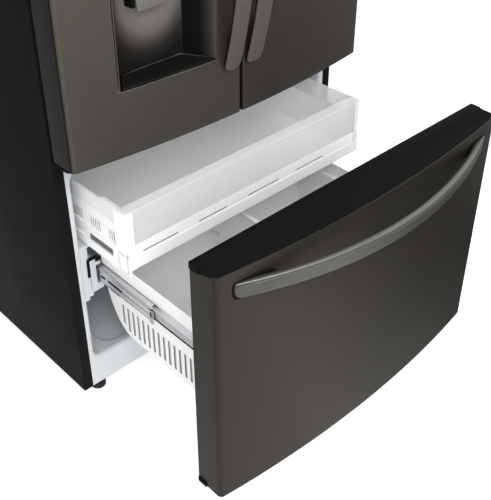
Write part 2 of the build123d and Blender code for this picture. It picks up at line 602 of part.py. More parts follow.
with BuildPart() as rails_mid:
    for s in (-1, 1):
        blk(s * 370, s * 368, 19.5, 509.5, RAIL_Z0, RAIL_Z1, dy=MD)
        blk(s * 370, s * 357, 19.5, 509.5, RAIL_Z1 - 2, RAIL_Z1, dy=MD)
        blk(s * 370, s * 357, 19.5, 509.5, RAIL_Z0, RAIL_Z0 + 2, dy=MD)
        # roller housings that ride in the fixed channel
        blk(s * 388, s * 370, 420, 509.5, 362, 398, dy=MD)
        # end stop at the front
        blk(s * 373, s * 368, 8, 19.5, RAIL_Z0 - 2, RAIL_Z1 + 1, dy=MD)
        blk(s * 373, s * 366.6, 8, 19.5, RAIL_Z1 - 6, RAIL_Z1 + 1, dy=MD)

# ================================================================== upper tray
with BuildPart() as tray_body:
    blk(-386, 386, 19, 455, 500, 648, dy=TD)
    blk(-383, 383, 22, 452, 503, 650, dy=TD, mode=Mode.SUBTRACT)
    blk(-383.5, 383.5, 18, 24, 546, 650, dy=TD, mode=Mode.SUBTRACT)
    blk(-392, 392, 15, 22, TRAY_Z0, 546, dy=TD)
    for s in (-1, 1):
        blk(s * 391, s * 383, 22, 452, 480, 512, dy=TD)
        blk(s * 391, s * 385, 22, 452, 530, 536, dy=TD)
        blk(s * 391, s * 385, 15, 58, 495, 545, dy=TD)
        blk(s * 391, s * 385, 165, 452, 500, 536, dy=TD)
        blk(s * 390, s * 383, 19, 455, 644, 650, dy=TD)
    for i in range(9):
        blk(-392, 392, 70 + i * 15, 74 + i * 15, 542, 582, dy=TD, mode=Mode.SUBTRACT)
    for xa, xb in ((-352, -247), (-182, -95), (-20, 82), (148, 250)):
        blk(xa, xb, 14, 16.5, 533, 537, dy=TD, mode=Mode.SUBTRACT)

with BuildPart() as tray_front:
    blk(-392, 392, 15, 103, 546, TRAY_Z1, dy=TD)
    blk(-388.5, 388.5, 18.5, 104, 545, TRAY_Z1 + 1, dy=TD, mode=Mode.SUBTRACT)
    blk(-392, 392, 13, 20, TRAY_Z1 - 5, TRAY_Z1, dy=TD)
    for s in (-1, 1):
        blk(s * 393.5, s * 387, 13, 103, TRAY_Z1 - 5, TRAY_Z1, dy=TD)
    for s in (-1, 1):
        blk(s * 390.5, s * 382, 18.4, 104, 643, 651, dy=TD, mode=Mode.SUBTRACT)

# ================================================================== write the parts
PARTS = {
    "cabinet_wrap": cabinet_wrap, "rear_panel": rear_panel, "base_frame": base_frame,
    "cabinet_foam": cabinet_foam, "freezer_liner": freezer_liner, "fridge_liner": fridge_liner,
    "centre_crossbar": centre_crossbar, "machine_room_cover": machine_room_cover,
    "compressor": compressor, "condenser": condenser, "condenser_fan_motor": condenser_fan_motor,
    "condenser_fan": condenser_fan, "evaporator_cover": evaporator_cover,
    "evaporator_fan": evaporator_fan, "evaporator": evaporator, "shelf_glass": shelf_glass,
    "shelf_frames": shelf_frames, "crisper_drawers": crisper_drawers, "top_hinges": top_hinges,
    "hinge_covers": hinge_covers, "centre_hinges": centre_hinges, "screws": screws,
    "water_valve": water_valve, "rails_fixed": rails_fixed, "foot_left": foot_left,
    "foot_right": foot_right, "roller_left": roller_left, "roller_right": roller_right,
    "left_door_skin": left_door_skin, "left_door_caps": left_door_caps,
    "left_door_foam": left_door_foam, "left_door_liner": left_door_liner,
    "left_door_gasket": left_door_gasket, "left_door_handle": left_door_handle,
    "left_door_bins": left_door_bins, "dispenser_housing": dispenser_housing,
    "drip_tray": drip_tray, "dispenser_panel": dispenser_panel, "dispenser_lever": dispenser_lever,
    "ice_maker_box": ice_maker_box, "mullion_flipper": mullion_flipper,
    "right_door_skin": right_door_skin, "right_door_caps": right_door_caps,
    "right_door_foam": right_door_foam, "right_door_liner": right_door_liner,
    "right_door_gasket": right_door_gasket, "right_door_handle": right_door_handle,
    "right_door_bins": right_door_bins, "drawer_skin": drawer_skin, "drawer_caps": drawer_caps,
    "drawer_foam": drawer_foam, "drawer_liner": drawer_liner, "drawer_gasket": drawer_gasket,
    "drawer_handle": drawer_handle, "drawer_rail_arms": drawer_rail_arms,
    "freezer_basket": freezer_basket, "basket_divider": basket_divider, "rails_mid": rails_mid,
    "tray_body": tray_body, "tray_front": tray_front,
}
for label, builder in PARTS.items():
    builder.part.label = label
    export_step(builder.part, f"parts/{label}.step")
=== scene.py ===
import bpy
import bmesh
import json
import math
from mathutils import Matrix, Vector
from mathutils.geometry import tessellate_polygon


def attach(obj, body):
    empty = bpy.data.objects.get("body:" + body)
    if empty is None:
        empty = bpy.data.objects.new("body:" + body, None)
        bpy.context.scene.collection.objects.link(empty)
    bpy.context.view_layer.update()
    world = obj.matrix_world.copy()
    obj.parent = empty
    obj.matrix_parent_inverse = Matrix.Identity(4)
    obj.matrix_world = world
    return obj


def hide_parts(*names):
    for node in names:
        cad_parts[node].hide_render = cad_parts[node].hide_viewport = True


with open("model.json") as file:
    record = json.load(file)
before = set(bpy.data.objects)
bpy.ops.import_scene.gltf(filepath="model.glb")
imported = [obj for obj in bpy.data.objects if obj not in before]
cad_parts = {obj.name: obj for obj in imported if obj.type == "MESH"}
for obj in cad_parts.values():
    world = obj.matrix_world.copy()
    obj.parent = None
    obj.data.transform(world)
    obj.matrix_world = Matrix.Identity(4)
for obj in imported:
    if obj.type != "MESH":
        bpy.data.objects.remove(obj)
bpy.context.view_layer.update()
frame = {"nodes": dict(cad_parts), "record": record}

NODES = frame["nodes"]
COLL = bpy.context.scene.collection
YF = -0.0495             # plane of the case front in the frame


# ============================================================ node helpers
def new_mat(name):
    m = bpy.data.materials.new(name)
    m.use_nodes = True
    nt = m.node_tree
    nt.nodes.clear()
    out = nt.nodes.new("ShaderNodeOutputMaterial")
    bsdf = nt.nodes.new("ShaderNodeBsdfPrincipled")
    nt.links.new(bsdf.outputs["BSDF"], out.inputs["Surface"])
    return m, nt, bsdf


def coords(nt, scale=(1, 1, 1)):
    tc = nt.nodes.new("ShaderNodeTexCoord")
    mp = nt.nodes.new("ShaderNodeMapping")
    mp.inputs["Scale"].default_value = scale
    nt.links.new(tc.outputs["Object"], mp.inputs["Vector"])
    return mp.outputs["Vector"]


def noise(nt, vec, scale, detail=3.0, rough=0.55, dist=0.0):
    n = nt.nodes.new("ShaderNodeTexNoise")
    n.inputs["Scale"].default_value = scale
    n.inputs["Detail"].default_value = detail
    n.inputs["Roughness"].default_value = rough
    n.inputs["Distortion"].default_value = dist
    nt.links.new(vec, n.inputs["Vector"])
    return n.outputs["Fac"]


def ramp(nt, fac, stops):
    r = nt.nodes.new("ShaderNodeValToRGB")
    e = r.color_ramp.elements
    while len(e) > 1:
        e.remove(e[-1])
    e[0].position, e[0].color = stops[0][0], (*stops[0][1], 1)
    for p, c in stops[1:]:
        k = e.new(p)
        k.color = (*c, 1)
    nt.links.new(fac, r.inputs["Fac"])
    return r.outputs["Color"]


def mapr(nt, fac, a0, a1, b0, b1):
    r = nt.nodes.new("ShaderNodeMapRange")
    for k, v in zip(("From Min", "From Max", "To Min", "To Max"), (a0, a1, b0, b1)):
        r.inputs[k].default_value = v
    nt.links.new(fac, r.inputs["Value"])
    return r.outputs["Result"]


def bump(nt, fac, dist, strength=1.0, prev=None):
    b = nt.nodes.new("ShaderNodeBump")
    b.inputs["Distance"].default_value = dist
    b.inputs["Strength"].default_value = strength
    nt.links.new(fac, b.inputs["Height"])
    if prev is not None:
        nt.links.new(prev, b.inputs["Normal"])
    return b.outputs["Normal"]


def mixc(nt, fac, a, b, mode="MIX"):
    m = nt.nodes.new("ShaderNodeMix")
    m.data_type = "RGBA"
    m.blend_type = mode
    if isinstance(fac, float):
        m.inputs["Factor"].default_value = fac
    else:
        nt.links.new(fac, m.inputs["Factor"])
    for k, v in (("A", a), ("B", b)):
        sock = [s for s in m.inputs if s.name == k and s.type == "RGBA"][0]
        if isinstance(v, tuple):
            sock.default_value = (*v, 1)
        else:
            nt.links.new(v, sock)
    return [s for s in m.outputs if s.type == "RGBA"][0]


def tone(c, k):
    return tuple(max(0.0, min(1.0, x * k)) for x in c)


# ============================================================ materials
def brushed(name, base, spread, rough, grain="X", aniso=0.55, metallic=1.0, fine=1.0, side=None, seal_shade=0.03, pull=0.0):
    """Brushed, tinted sheet metal: long fine lines along one axis, soft cloudy variation.
    side paints shade on the returns at both outer sides of a door by darkening their colour, and the seal value paints
    a darker band of shade where they meet the seal."""
    m, nt, b = new_mat(name)
    along, across = 5.0, 900.0 * fine
    sc = {"X": (along, across, across), "Y": (across, along, across), "Z": (across, across, along)}[grain]
    lines = noise(nt, coords(nt, sc), 1.0, 4.0, 0.65)
    sc2 = tuple(v * (0.22 if v > 100 else 0.4) for v in sc)
    broad = noise(nt, coords(nt, sc2), 1.0, 2.0, 0.5)
    cloud = noise(nt, coords(nt, (3, 3, 3)), 1.0, 2.0, 0.5)
    c = ramp(nt, lines, [(0.3, tone(base, 1 - spread)), (0.7, tone(base, 1 + spread))])
    c2 = ramp(nt, broad, [(0.35, tone((1, 1, 1), 0.93)), (0.65, (1, 1, 1))])
    c3 = ramp(nt, cloud, [(0.3, tone((1, 1, 1), 0.95)), (0.7, (1, 1, 1))])
    col = mixc(nt, 1.0, mixc(nt, 1.0, c, c2, "MULTIPLY"), c3, "MULTIPLY")
    # painted shade: the side returns and the band beside the seal get a darker colour
    if side:
        sx = nt.nodes.new("ShaderNodeSeparateXYZ")
        nt.links.new(coords(nt), sx.inputs["Vector"])
        ab = nt.nodes.new("ShaderNodeMath")
        ab.operation = "ABSOLUTE"
        nt.links.new(sx.outputs["X"], ab.inputs[0])
        edge = mapr(nt, ab.outputs[0], 0.4520, 0.4533, 0.0, 1.0)
        side_shade_band = ramp(nt, mapr(nt, sx.outputs["Y"], YF + pull - 0.022, YF + pull - 0.012, 0.0, 1.0),
                    [(0.0, tone((1, 1, 1), side)), (0.4, tone((1, 1, 1), side * 0.8)), (0.6, (seal_shade, seal_shade, seal_shade))])
        col = mixc(nt, 1.0, col, mixc(nt, edge, (1.0, 1.0, 1.0), side_shade_band), "MULTIPLY")
    nt.links.new(col, b.inputs["Base Color"])
    nt.links.new(mapr(nt, lines, 0.3, 0.7, rough - 0.05, rough + 0.07), b.inputs["Roughness"])
    b.inputs["Metallic"].default_value = metallic
    if side and side < 0.5:
        b.inputs["Specular IOR Level"].default_value = 0.25
    if aniso:
        b.inputs["Anisotropic"].default_value = aniso
        t = nt.nodes.new("ShaderNodeTangent")
        t.direction_type = "RADIAL"
        t.axis = "Z"
        nt.links.new(t.outputs["Tangent"], b.inputs["Tangent"])
        if grain == "X":
            b.inputs["Anisotropic Rotation"].default_value = 0.25
    nt.links.new(bump(nt, lines, 0.00006, 0.35), b.inputs["Normal"])
    return m


def plastic(name, base, rough=0.4, spread=0.03, grain=1400.0, depth=0.00004, spec=0.5, cloud=0.03, sss=0.0, coat=0.0):
    """Moulded plastic: fine spark-eroded grain, slight cloudiness, uneven gloss."""
    m, nt, b = new_mat(name)
    v = coords(nt)
    fine = noise(nt, v, grain, 2.0, 0.5)
    soft = noise(nt, v, 9.0, 3.0, 0.5)
    c = ramp(nt, fine, [(0.3, tone(base, 1 - spread)), (0.7, tone(base, 1 + spread))])
    c2 = ramp(nt, soft, [(0.3, tone((1, 1, 1), 1 - cloud)), (0.7, (1, 1, 1))])
    nt.links.new(mixc(nt, 1.0, c, c2, "MULTIPLY"), b.inputs["Base Color"])
    nt.links.new(mapr(nt, soft, 0.3, 0.7, rough - 0.04, rough + 0.05), b.inputs["Roughness"])
    b.inputs["Specular IOR Level"].default_value = spec
    if sss:
        b.inputs["Subsurface Weight"].default_value = sss
        b.inputs["Subsurface Radius"].default_value = (0.004, 0.004, 0.004)
        b.inputs["Subsurface Scale"].default_value = 1.0
    if coat:
        b.inputs["Coat Weight"].default_value = coat
        b.inputs["Coat Roughness"].default_value = 0.1
    nt.links.new(bump(nt, fine, depth, 0.5), b.inputs["Normal"])
    return m


def clear(name, tint, rough=0.06, ior=1.35, wave=0.00006, film=0.2, edge=0.75):
    """Clear moulded sheet: a thin milky film with faint flow marks, denser where it is seen edge on."""
    m, nt, b = new_mat(name)
    v = coords(nt, (14, 14, 22))
    flow = noise(nt, v, 1.0, 3.0, 0.5, 0.4)
    fine = noise(nt, coords(nt), 260.0, 2.0, 0.5)
    c = ramp(nt, flow, [(0.3, tone(tint, 0.985)), (0.7, tint)])
    nt.links.new(c, b.inputs["Base Color"])
    nt.links.new(mapr(nt, fine, 0.3, 0.7, rough * 0.7, rough * 1.4), b.inputs["Roughness"])
    b.inputs["IOR"].default_value = ior
    lw = nt.nodes.new("ShaderNodeLayerWeight")
    lw.inputs["Blend"].default_value = 0.35
    nt.links.new(mapr(nt, lw.outputs["Facing"], 0.05, 0.95, film, edge), b.inputs["Alpha"])
    nt.links.new(bump(nt, flow, wave, 0.4), b.inputs["Normal"])
    return m


def metal(name, base, rough=0.32, grain="Y", spread=0.06, spangle=0.0):
    """Plated or drawn bare metal."""
    m, nt, b = new_mat(name)
    sc = {"X": (6, 700, 700), "Y": (700, 6, 700), "Z": (700, 700, 6)}[grain]
    lines = noise(nt, coords(nt, sc), 1.0, 3.0, 0.6)
    cloud = noise(nt, coords(nt), 26.0, 3.0, 0.5)
    c = ramp(nt, lines, [(0.3, tone(base, 1 - spread)), (0.7, tone(base, 1 + spread))])
    c2 = ramp(nt, cloud, [(0.3, tone((1, 1, 1), 0.9)), (0.7, (1, 1, 1))])
    col = mixc(nt, 1.0, c, c2, "MULTIPLY")
    if spangle:
        vo = nt.nodes.new("ShaderNodeTexVoronoi")
        vo.inputs["Scale"].default_value = 90.0
        nt.links.new(coords(nt), vo.inputs["Vector"])
        s = ramp(nt, vo.outputs["Distance"], [(0.0, tone((1, 1, 1), 1 - spangle)), (0.9, (1, 1, 1))])
        col = mixc(nt, 1.0, col, s, "MULTIPLY")
    nt.links.new(col, b.inputs["Base Color"])
    b.inputs["Metallic"].default_value = 1.0
    nt.links.new(mapr(nt, cloud, 0.3, 0.7, rough - 0.06, rough + 0.08), b.inputs["Roughness"])
    nt.links.new(bump(nt, lines, 0.00004, 0.3), b.inputs["Normal"])
    return m


def foam_mat(name, base):
    m, nt, b = new_mat(name)
    vo = nt.nodes.new("ShaderNodeTexVoronoi")
    vo.inputs["Scale"].default_value = 420.0
    nt.links.new(coords(nt), vo.inputs["Vector"])
    c = ramp(nt, vo.outputs["Distance"], [(0.0, tone(base, 0.82)), (0.7, base)])
    nt.links.new(c, b.inputs["Base Color"])
    b.inputs["Roughness"].default_value = 0.9
    nt.links.new(bump(nt, vo.outputs["Distance"], 0.0006, 0.6), b.inputs["Normal"])
    return m


def recess_painted_glow_mat(name):
    """Alcove back: satin sheet with a painted pool of light in its colour, light round a spot near the top and fading
    to painted shade all round it.
    """
    m, nt, b = new_mat(name)
    mp = nt.nodes.new("ShaderNodeMapping")
    mp.vector_type = "POINT"
    mp.inputs["Location"].default_value = (0.194 / 0.107, 0.0, -1.072 / 0.131)
    mp.inputs["Scale"].default_value = (1 / 0.107, 0.0, 1 / 0.131)
    tc = nt.nodes.new("ShaderNodeTexCoord")
    nt.links.new(tc.outputs["Object"], mp.inputs["Vector"])
    ln = nt.nodes.new("ShaderNodeVectorMath")
    ln.operation = "LENGTH"
    nt.links.new(mp.outputs["Vector"], ln.inputs[0])
    # painted light: the colour is light at the centre of the pool and darkens outward as painted shade
    painted_glow = ramp(nt, mapr(nt, ln.outputs["Value"], 0.0, 2.0, 0.0, 1.0),
                [(0.0, (0.180, 0.166, 0.157)), (0.26, (0.166, 0.153, 0.144)), (0.36, (0.124, 0.113, 0.105)), (0.43, (0.062, 0.056, 0.051)),
                 (0.51, (0.022, 0.020, 0.018)), (0.62, (0.010, 0.009, 0.008)), (1.0, (0.006, 0.0055, 0.005))])
    lines = noise(nt, coords(nt, (700, 700, 5)), 1.0, 3.0, 0.6)
    c = mixc(nt, 1.0, painted_glow, ramp(nt, lines, [(0.3, (0.95, 0.95, 0.95)), (0.7, (1, 1, 1))]), "MULTIPLY")
    nt.links.new(c, b.inputs["Base Color"])
    nt.links.new(mapr(nt, lines, 0.3, 0.7, 0.45, 0.55), b.inputs["Roughness"])
    b.inputs["Specular IOR Level"].default_value = 0.08
    nt.links.new(bump(nt, lines, 0.00004, 0.3), b.inputs["Normal"])
    return m


def recess_side_mat(name):
    """Alcove sides: dark satin sheet with painted light and shade: its colour lightens toward the front edge and
    darkens deeper in, where shade falls.
    """
    m, nt, b = new_mat(name)
    sx = nt.nodes.new("ShaderNodeSeparateXYZ")
    nt.links.new(coords(nt), sx.inputs["Vector"])
    # painted shade: the colour darkens from the front edge back into the alcove
    c = ramp(nt, mapr(nt, sx.outputs["Y"], YF - 0.118, YF - 0.045, 0.0, 1.0), [(0.0, (0.055, 0.050, 0.047)), (0.18, (0.026, 0.024, 0.023)), (0.42, (0.006, 0.0055, 0.005)), (1.0, (0.004, 0.004, 0.004))])
    lines = noise(nt, coords(nt, (700, 700, 5)), 1.0, 3.0, 0.6)
    nt.links.new(mixc(nt, 1.0, c, ramp(nt, lines, [(0.3, (0.92, 0.92, 0.92)), (0.7, (1, 1, 1))]), "MULTIPLY"), b.inputs["Base Color"])
    nt.links.new(mapr(nt, lines, 0.3, 0.7, 0.45, 0.55), b.inputs["Roughness"])
    b.inputs["Specular IOR Level"].default_value = 0.06
    nt.links.new(bump(nt, lines, 0.00004, 0.3), b.inputs["Normal"])
    return m


M = {
    # painted light and shade: the left door's copy of this finish is lightened and the right door's copy darkened, as
    # light falls differently on them
    "black_stainless": brushed("black_stainless", (0.0635, 0.0562, 0.0476), 0.10, 0.35, "X", metallic=0.80, side=0.80, seal_shade=0.55, pull=-0.449),
    "black_stainless_door_painted_light": brushed("black_stainless_door_painted_light", (0.102, 0.0905, 0.078), 0.10, 0.36, "X", aniso=0.70, metallic=0.68, side=0.05),
    "black_stainless_right_painted_shade": brushed("black_stainless_right_door", (0.077, 0.0683, 0.0588), 0.10, 0.36, "X", aniso=0.70, metallic=0.72, side=0.07),
    "handle_h": brushed("handle_steel_h", (0.190, 0.183, 0.171), 0.06, 0.36, "X", aniso=0.3, metallic=0.85),
    "handle_v": brushed("handle_steel_v", (0.150, 0.139, 0.126), 0.06, 0.36, "Z", aniso=0.3, metallic=0.45),
    # dark colour of the groove under the handle's top lip: painted shade in the crease
    "handle_groove_painted_shade": metal("handle_groove_painted_shade", (0.045, 0.042, 0.038), 0.5, "X"),
    "trim_bright": metal("bright_trim", (0.21, 0.202, 0.192), 0.36, "Z"),
    "trim_soft": metal("soft_trim", (0.075, 0.071, 0.066), 0.40, "Z"),
    "case_black": plastic("case_black_paint", (0.0062, 0.0062, 0.0064), 0.62, 0.10, 520.0, 0.00010, 0.06, 0.06),
    "liner_white": plastic("liner_white", (0.565, 0.585, 0.610), 0.36, 0.01, 900.0, 0.00003, 0.4, 0.03),
    "white_plastic": plastic("white_plastic", (0.87, 0.875, 0.88), 0.32, 0.01, 900.0, 0.00003, 0.4, 0.02),
    "tray_white": plastic("tray_white", (0.93, 0.932, 0.935), 0.34, 0.01, 900.0, 0.00003, 0.4, 0.02),
    "inner_white": plastic("inner_white", (0.56, 0.57, 0.58), 0.36, 0.02, 900.0, 0.00004, 0.4, 0.04),
    "cap_black": plastic("cap_black", (0.0080, 0.0080, 0.0077), 0.62, 0.12, 900.0, 0.00006, 0.015, 0.10),
    "bin_clear": clear("clear_bin_plastic", (0.66, 0.68, 0.69), 0.12, 1.4, film=0.24, edge=0.80),
    "ring_shade": plastic("ring_shade", (0.40, 0.405, 0.41), 0.5, 0.03, 900.0, 0.00003, 0.3, 0.03),
    "dish_dark": plastic("dish_dark", (0.0085, 0.0080, 0.0070), 0.5, 0.10, 1100.0, 0.00006, 0.12, 0.08),
    # a darker copy of the tray white for the right corner post: painted shade
    "post_white_painted_shade": plastic("post_white_painted_shade", (0.80, 0.803, 0.806), 0.34, 0.01, 900.0, 0.00003, 0.4, 0.02),
    "slit_shade": plastic("slit_shade", (0.13, 0.135, 0.14), 0.6, 0.04, 900.0, 0.00003, 0.2, 0.03),
    "slot_shade": plastic("slot_shade", (0.24, 0.245, 0.25), 0.6, 0.04, 900.0, 0.00003, 0.2, 0.03),
    "clear_plastic": clear("clear_plastic", (0.97, 0.972, 0.975), 0.08, 1.4, film=0.15, edge=0.80),
    "frost_plastic": clear("frosted_plastic", (0.93, 0.935, 0.94), 0.25, 1.4, film=0.55, edge=0.92),
    "shelf_glass": clear("shelf_glass", (0.80, 0.88, 0.86), 0.03, 1.5, 0.00001, film=0.12, edge=0.6),
    "black_plastic": plastic("black_plastic", (0.0050, 0.0050, 0.0050), 0.55, 0.12, 1100.0, 0.00006, 0.05, 0.08),
    "gloss_black": plastic("gloss_black", (0.004, 0.004, 0.0045), 0.16, 0.05, 300.0, 0.000004, 0.3, 0.05, coat=0.2),
    "recess": recess_painted_glow_mat("recess_back_painted_glow"),
    "recess_side_painted_shade": recess_side_mat("recess_side_painted_shade"),
    "recess_light": plastic("recess_light", (0.135, 0.125, 0.117), 0.38, 0.03, 900.0, 0.00004, 0.4, 0.05),
    "bare_steel": metal("zinc_plated_steel", (0.74, 0.745, 0.76), 0.34, "Y"),
    "steel_structure": metal("galvanised_steel", (0.46, 0.47, 0.48), 0.42, "X", spangle=0.18),
    "gasket": plastic("gasket_rubber", (0.014, 0.014, 0.016), 0.55, 0.08, 800.0, 0.00005, 0.3, 0.08),
    "foot_rubber": plastic("foot_rubber", (0.010, 0.010, 0.010), 0.6, 0.12, 700.0, 0.00008, 0.3, 0.08),
    "roller": plastic("roller_nylon", (0.66, 0.65, 0.61), 0.45, 0.03, 800.0, 0.00004, 0.4, 0.05),
    "foam": foam_mat("rigid_foam", (0.80, 0.74, 0.55)),
    "coil": metal("coil_aluminium", (0.66, 0.67, 0.68), 0.34, "Z"),
    "compressor": plastic("compressor_enamel", (0.009, 0.009, 0.010), 0.22, 0.1, 60.0, 0.00015, 0.45, 0.1, coat=0.3),
    "brass": metal("machined_brass", (0.66, 0.48, 0.22), 0.26, "Z"),
    "fan": plastic("fan_plastic", (0.035, 0.035, 0.038), 0.42, 0.08, 900.0, 0.00005),
    # black for gaps, windows and sockets: painted shade, a dark sheet standing for the shade deep in them
    "seam_dark": plastic("painted_gap_shade", (0.004, 0.004, 0.004), 0.8, 0.1, 500.0, 0.00005, 0.1, 0.0),
}


SLOT_OF = {s["node"]: s["material_slot"] for s in frame["record"]["subparts"]}
BY_SLOT = {
    "black_stainless": "black_stainless", "handle_steel": "handle_h", "case_black": "case_black",
    "bare_steel": "bare_steel", "steel_structure": "steel_structure", "black_plastic": "black_plastic",
    "gloss_black": "gloss_black", "recess_plastic": "recess", "liner_white": "liner_white",
    "white_plastic": "white_plastic", "clear_plastic": "clear_plastic", "shelf_glass": "shelf_glass",
    "gasket_rubber": "gasket", "foot_rubber": "foot_rubber", "roller_nylon": "roller", "foam": "foam",
    "coil_aluminium": "coil", "compressor_black": "compressor", "brass": "brass", "fan_plastic": "fan",
}


def assign(obj, mat):
    obj.data.materials.clear()
    obj.data.materials.append(mat)


for n, o in NODES.items():
    assign(o, M[BY_SLOT[SLOT_OF[n]]])
for n, k in (("left_door_skin", "black_stainless_door_painted_light"), ("right_door_skin", "black_stainless_right_painted_shade"), ("drawer_caps", "cap_black"), ("ice_maker_box", "inner_white"),
             ("left_door_bins", "bin_clear"), ("right_door_bins", "bin_clear"), ("crisper_drawers", "bin_clear")):
    assign(NODES[n], M[k])

# ============================================================ camera
cam_data = bpy.data.cameras.new("camera")
cam = bpy.data.objects.new("camera", cam_data)
COLL.objects.link(cam)
RIGHT = Vector((0.71882547, -0.69513741, 0.0085976))
UP = Vector((0.39026163, 0.41373345, 0.82250866))
FWD = Vector((0.57531365, 0.58788487, -0.5686876))
rot = Matrix((RIGHT, UP, -FWD)).transposed().to_4x4()
cam.matrix_world = Matrix.Translation((-1.249056, -1.457401 + YF, 1.736680)) @ rot
cam_data.sensor_width = 36.0
cam_data.lens = 865.524 / 500.0 * 36.0
cam_data.shift_x = (245.5 - 257.926) / 500.0
cam_data.shift_y = (204.924 - 250.0) / 500.0
cam_data.clip_start, cam_data.clip_end = 0.05, 60.0
bpy.context.scene.camera = cam

# ============================================================ mesh helpers
# Every measure below is in millimetres: x, y counted from the plane of the case front,
# z from the floor. finish_mesh() turns them into metres in the frame.
DD, MD, TD = -449.0, -224.5, -185.0      # shown pull-out of drawer, rail and tray
BOW_R = (454.0 ** 2 + 35.0 ** 2) / 70.0
BOW_C = -122.0 + BOW_R


def bow(x, inset=0.0):
    return BOW_C - math.sqrt((BOW_R - inset) ** 2 - x * x)


def finish_mesh(name, bm, mats, body, replaces=(), bevel=0.0, seg=2, angle=32.0,
                smooth=38.0, solid=0.0, merge=0.02, recalc=True, limit=None):
    """Puts a mesh into the frame, with rounded edges, its materials and the body it rides on."""
    if merge:
        bmesh.ops.remove_doubles(bm, verts=bm.verts, dist=merge)
    if recalc:
        bmesh.ops.recalc_face_normals(bm, faces=bm.faces)
    for v in bm.verts:
        v.co = Vector((v.co.x * 0.001, v.co.y * 0.001 + YF, v.co.z * 0.001))
    for f in bm.faces:
        f.smooth = True
    me = bpy.data.meshes.new(name)
    bm.to_mesh(me)
    bm.free()
    for m in (mats if isinstance(mats, (list, tuple)) else [mats]):
        me.materials.append(M[m])
    me.set_sharp_from_angle(angle=math.radians(smooth))
    o = bpy.data.objects.new(name, me)
    COLL.objects.link(o)
    if solid:
        s = o.modifiers.new("sheet", "SOLIDIFY")
        s.thickness = abs(solid) * 0.001
        s.offset = 1.0 if solid > 0 else -1.0
        s.use_even_offset = True
    if bevel:
        b = o.modifiers.new("edges", "BEVEL")
        b.width = bevel * 0.001
        b.segments = seg
        b.limit_method = "ANGLE"
        b.angle_limit = math.radians(angle)
        b.use_clamp_overlap = True
        b.harden_normals = False
        w = o.modifiers.new("normals", "WEIGHTED_NORMAL")
        w.keep_sharp = False
        w.weight = 60
    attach(o, body)
    if replaces:
        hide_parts(*replaces)
    return o


def box(bm, x0, x1, y0, y1, z0, z1, mat=0, dy=0.0):
    xs, ys, zs = sorted((x0, x1)), sorted((y0, y1)), sorted((z0, z1))
    v = [bm.verts.new((xs[i], ys[j] + dy, zs[k])) for i in (0, 1) for j in (0, 1) for k in (0, 1)]
    for q in ((0, 1, 3, 2), (4, 6, 7, 5), (0, 4, 5, 1), (2, 3, 7, 6), (0, 2, 6, 4), (1, 5, 7, 3)):
        f = bm.faces.new([v[i] for i in q])
        f.material_index = mat


def loft(bm, rings, caps=True, mat=0, mats=None, closed=True, cap_mat=None):
    """Skin through rings of equal length; mats gives a material per ring segment."""
    vr = [[bm.verts.new(p) for p in r] for r in rings]
    n = len(vr[0])
    last = n if closed else n - 1
    for a, b in zip(vr, vr[1:]):
        for i in range(last):
            j = (i + 1) % n
            try:
                f = bm.faces.new((a[i], a[j], b[j], b[i]))
                f.material_index = mats[i] if mats else mat
            except ValueError:
                pass
    if caps:
        for r in (vr[0], vr[-1]):
            f = bm.faces.new(r)
            f.material_index = mat if cap_mat is None else cap_mat
    return vr


def plate(bm, loops, place, thick, mat=0, hole_mat=None):
    """Flat sheet with holes: loops of (a, b), place(a, b, d) gives the point at depth d."""
    hole_mat = mat if hole_mat is None else hole_mat
    flat = [p for lp in loops for p in lp]
    tris = tessellate_polygon([[Vector((a, b, 0)) for a, b in lp] for lp in loops])
    front = [bm.verts.new(place(a, b, 0.0)) for a, b in flat]
    back = [bm.verts.new(place(a, b, thick)) for a, b in flat]
    for t in tris:
        for side in (front, back):
            try:
                bm.faces.new([side[i] for i in t]).material_index = mat
            except ValueError:
                pass
    k = 0
    for n, lp in enumerate(loops):
        for i in range(len(lp)):
            a, b = k + i, k + (i + 1) % len(lp)
            f = bm.faces.new((front[a], front[b], back[b], back[a]))
            f.material_index = mat if n == 0 else hole_mat
        k += len(lp)


def rrect(x0, x1, z0, z1, r, n=6):
    """Rounded rectangle as a loop of points."""
    out = []
    for cx, cz, a0 in ((x1 - r, z1 - r, 0), (x0 + r, z1 - r, 90), (x0 + r, z0 + r, 180), (x1 - r, z0 + r, 270)):
        for i in range(n + 1):
            a = math.radians(a0 + 90.0 * i / n)
            out.append((cx + r * math.cos(a), cz + r * math.sin(a)))
    return out


def rod(bm, p0, p1, r, n=20, mat=0, ends=((0.0, 0.8), (1.0, 1.0)), r1=None):
    """Turned rod from p0 to p1 with eased ends."""
    p0, p1 = Vector(p0), Vector(p1)
    d = (p1 - p0)
    L = d.length
    d.normalize()
    u = d.orthogonal().normalized()
    w = d.cross(u)
    e = min(0.8, r * 0.25, L * 0.2)
    rr = r if r1 is None else r1
    stops = [(0, r - e), (e, r), (L - e, rr), (L, rr - e)]
    rings = []
    for s, q in stops:
        rings.append([p0 + d * s + (u * math.cos(2 * math.pi * i / n) + w * math.sin(2 * math.pi * i / n)) * q for i in range(n)])
    loft(bm, rings, mat=mat)


def round_cut(s, r):
    """How much an outline draws in at distance s from its rounded end."""
    if s >= r:
        return 0.0
    return r - math.sqrt(max(0.0, r * r - (r - max(s, 0.0)) ** 2))


def end_steps(r, n=7):
    return [r * (1 - math.cos(math.pi / 2 * i / n)) for i in range(n)]


# ============================================================ drawer handle
HM, HH = -7.0, 406.0


def drawer_handle_line(x):
    t = (x - HM) / HH
    return 4.0 + 61.0 * (1 - t * t), 659.5 + 5.0 * t * t, 695.5 + 5.0 * t * t


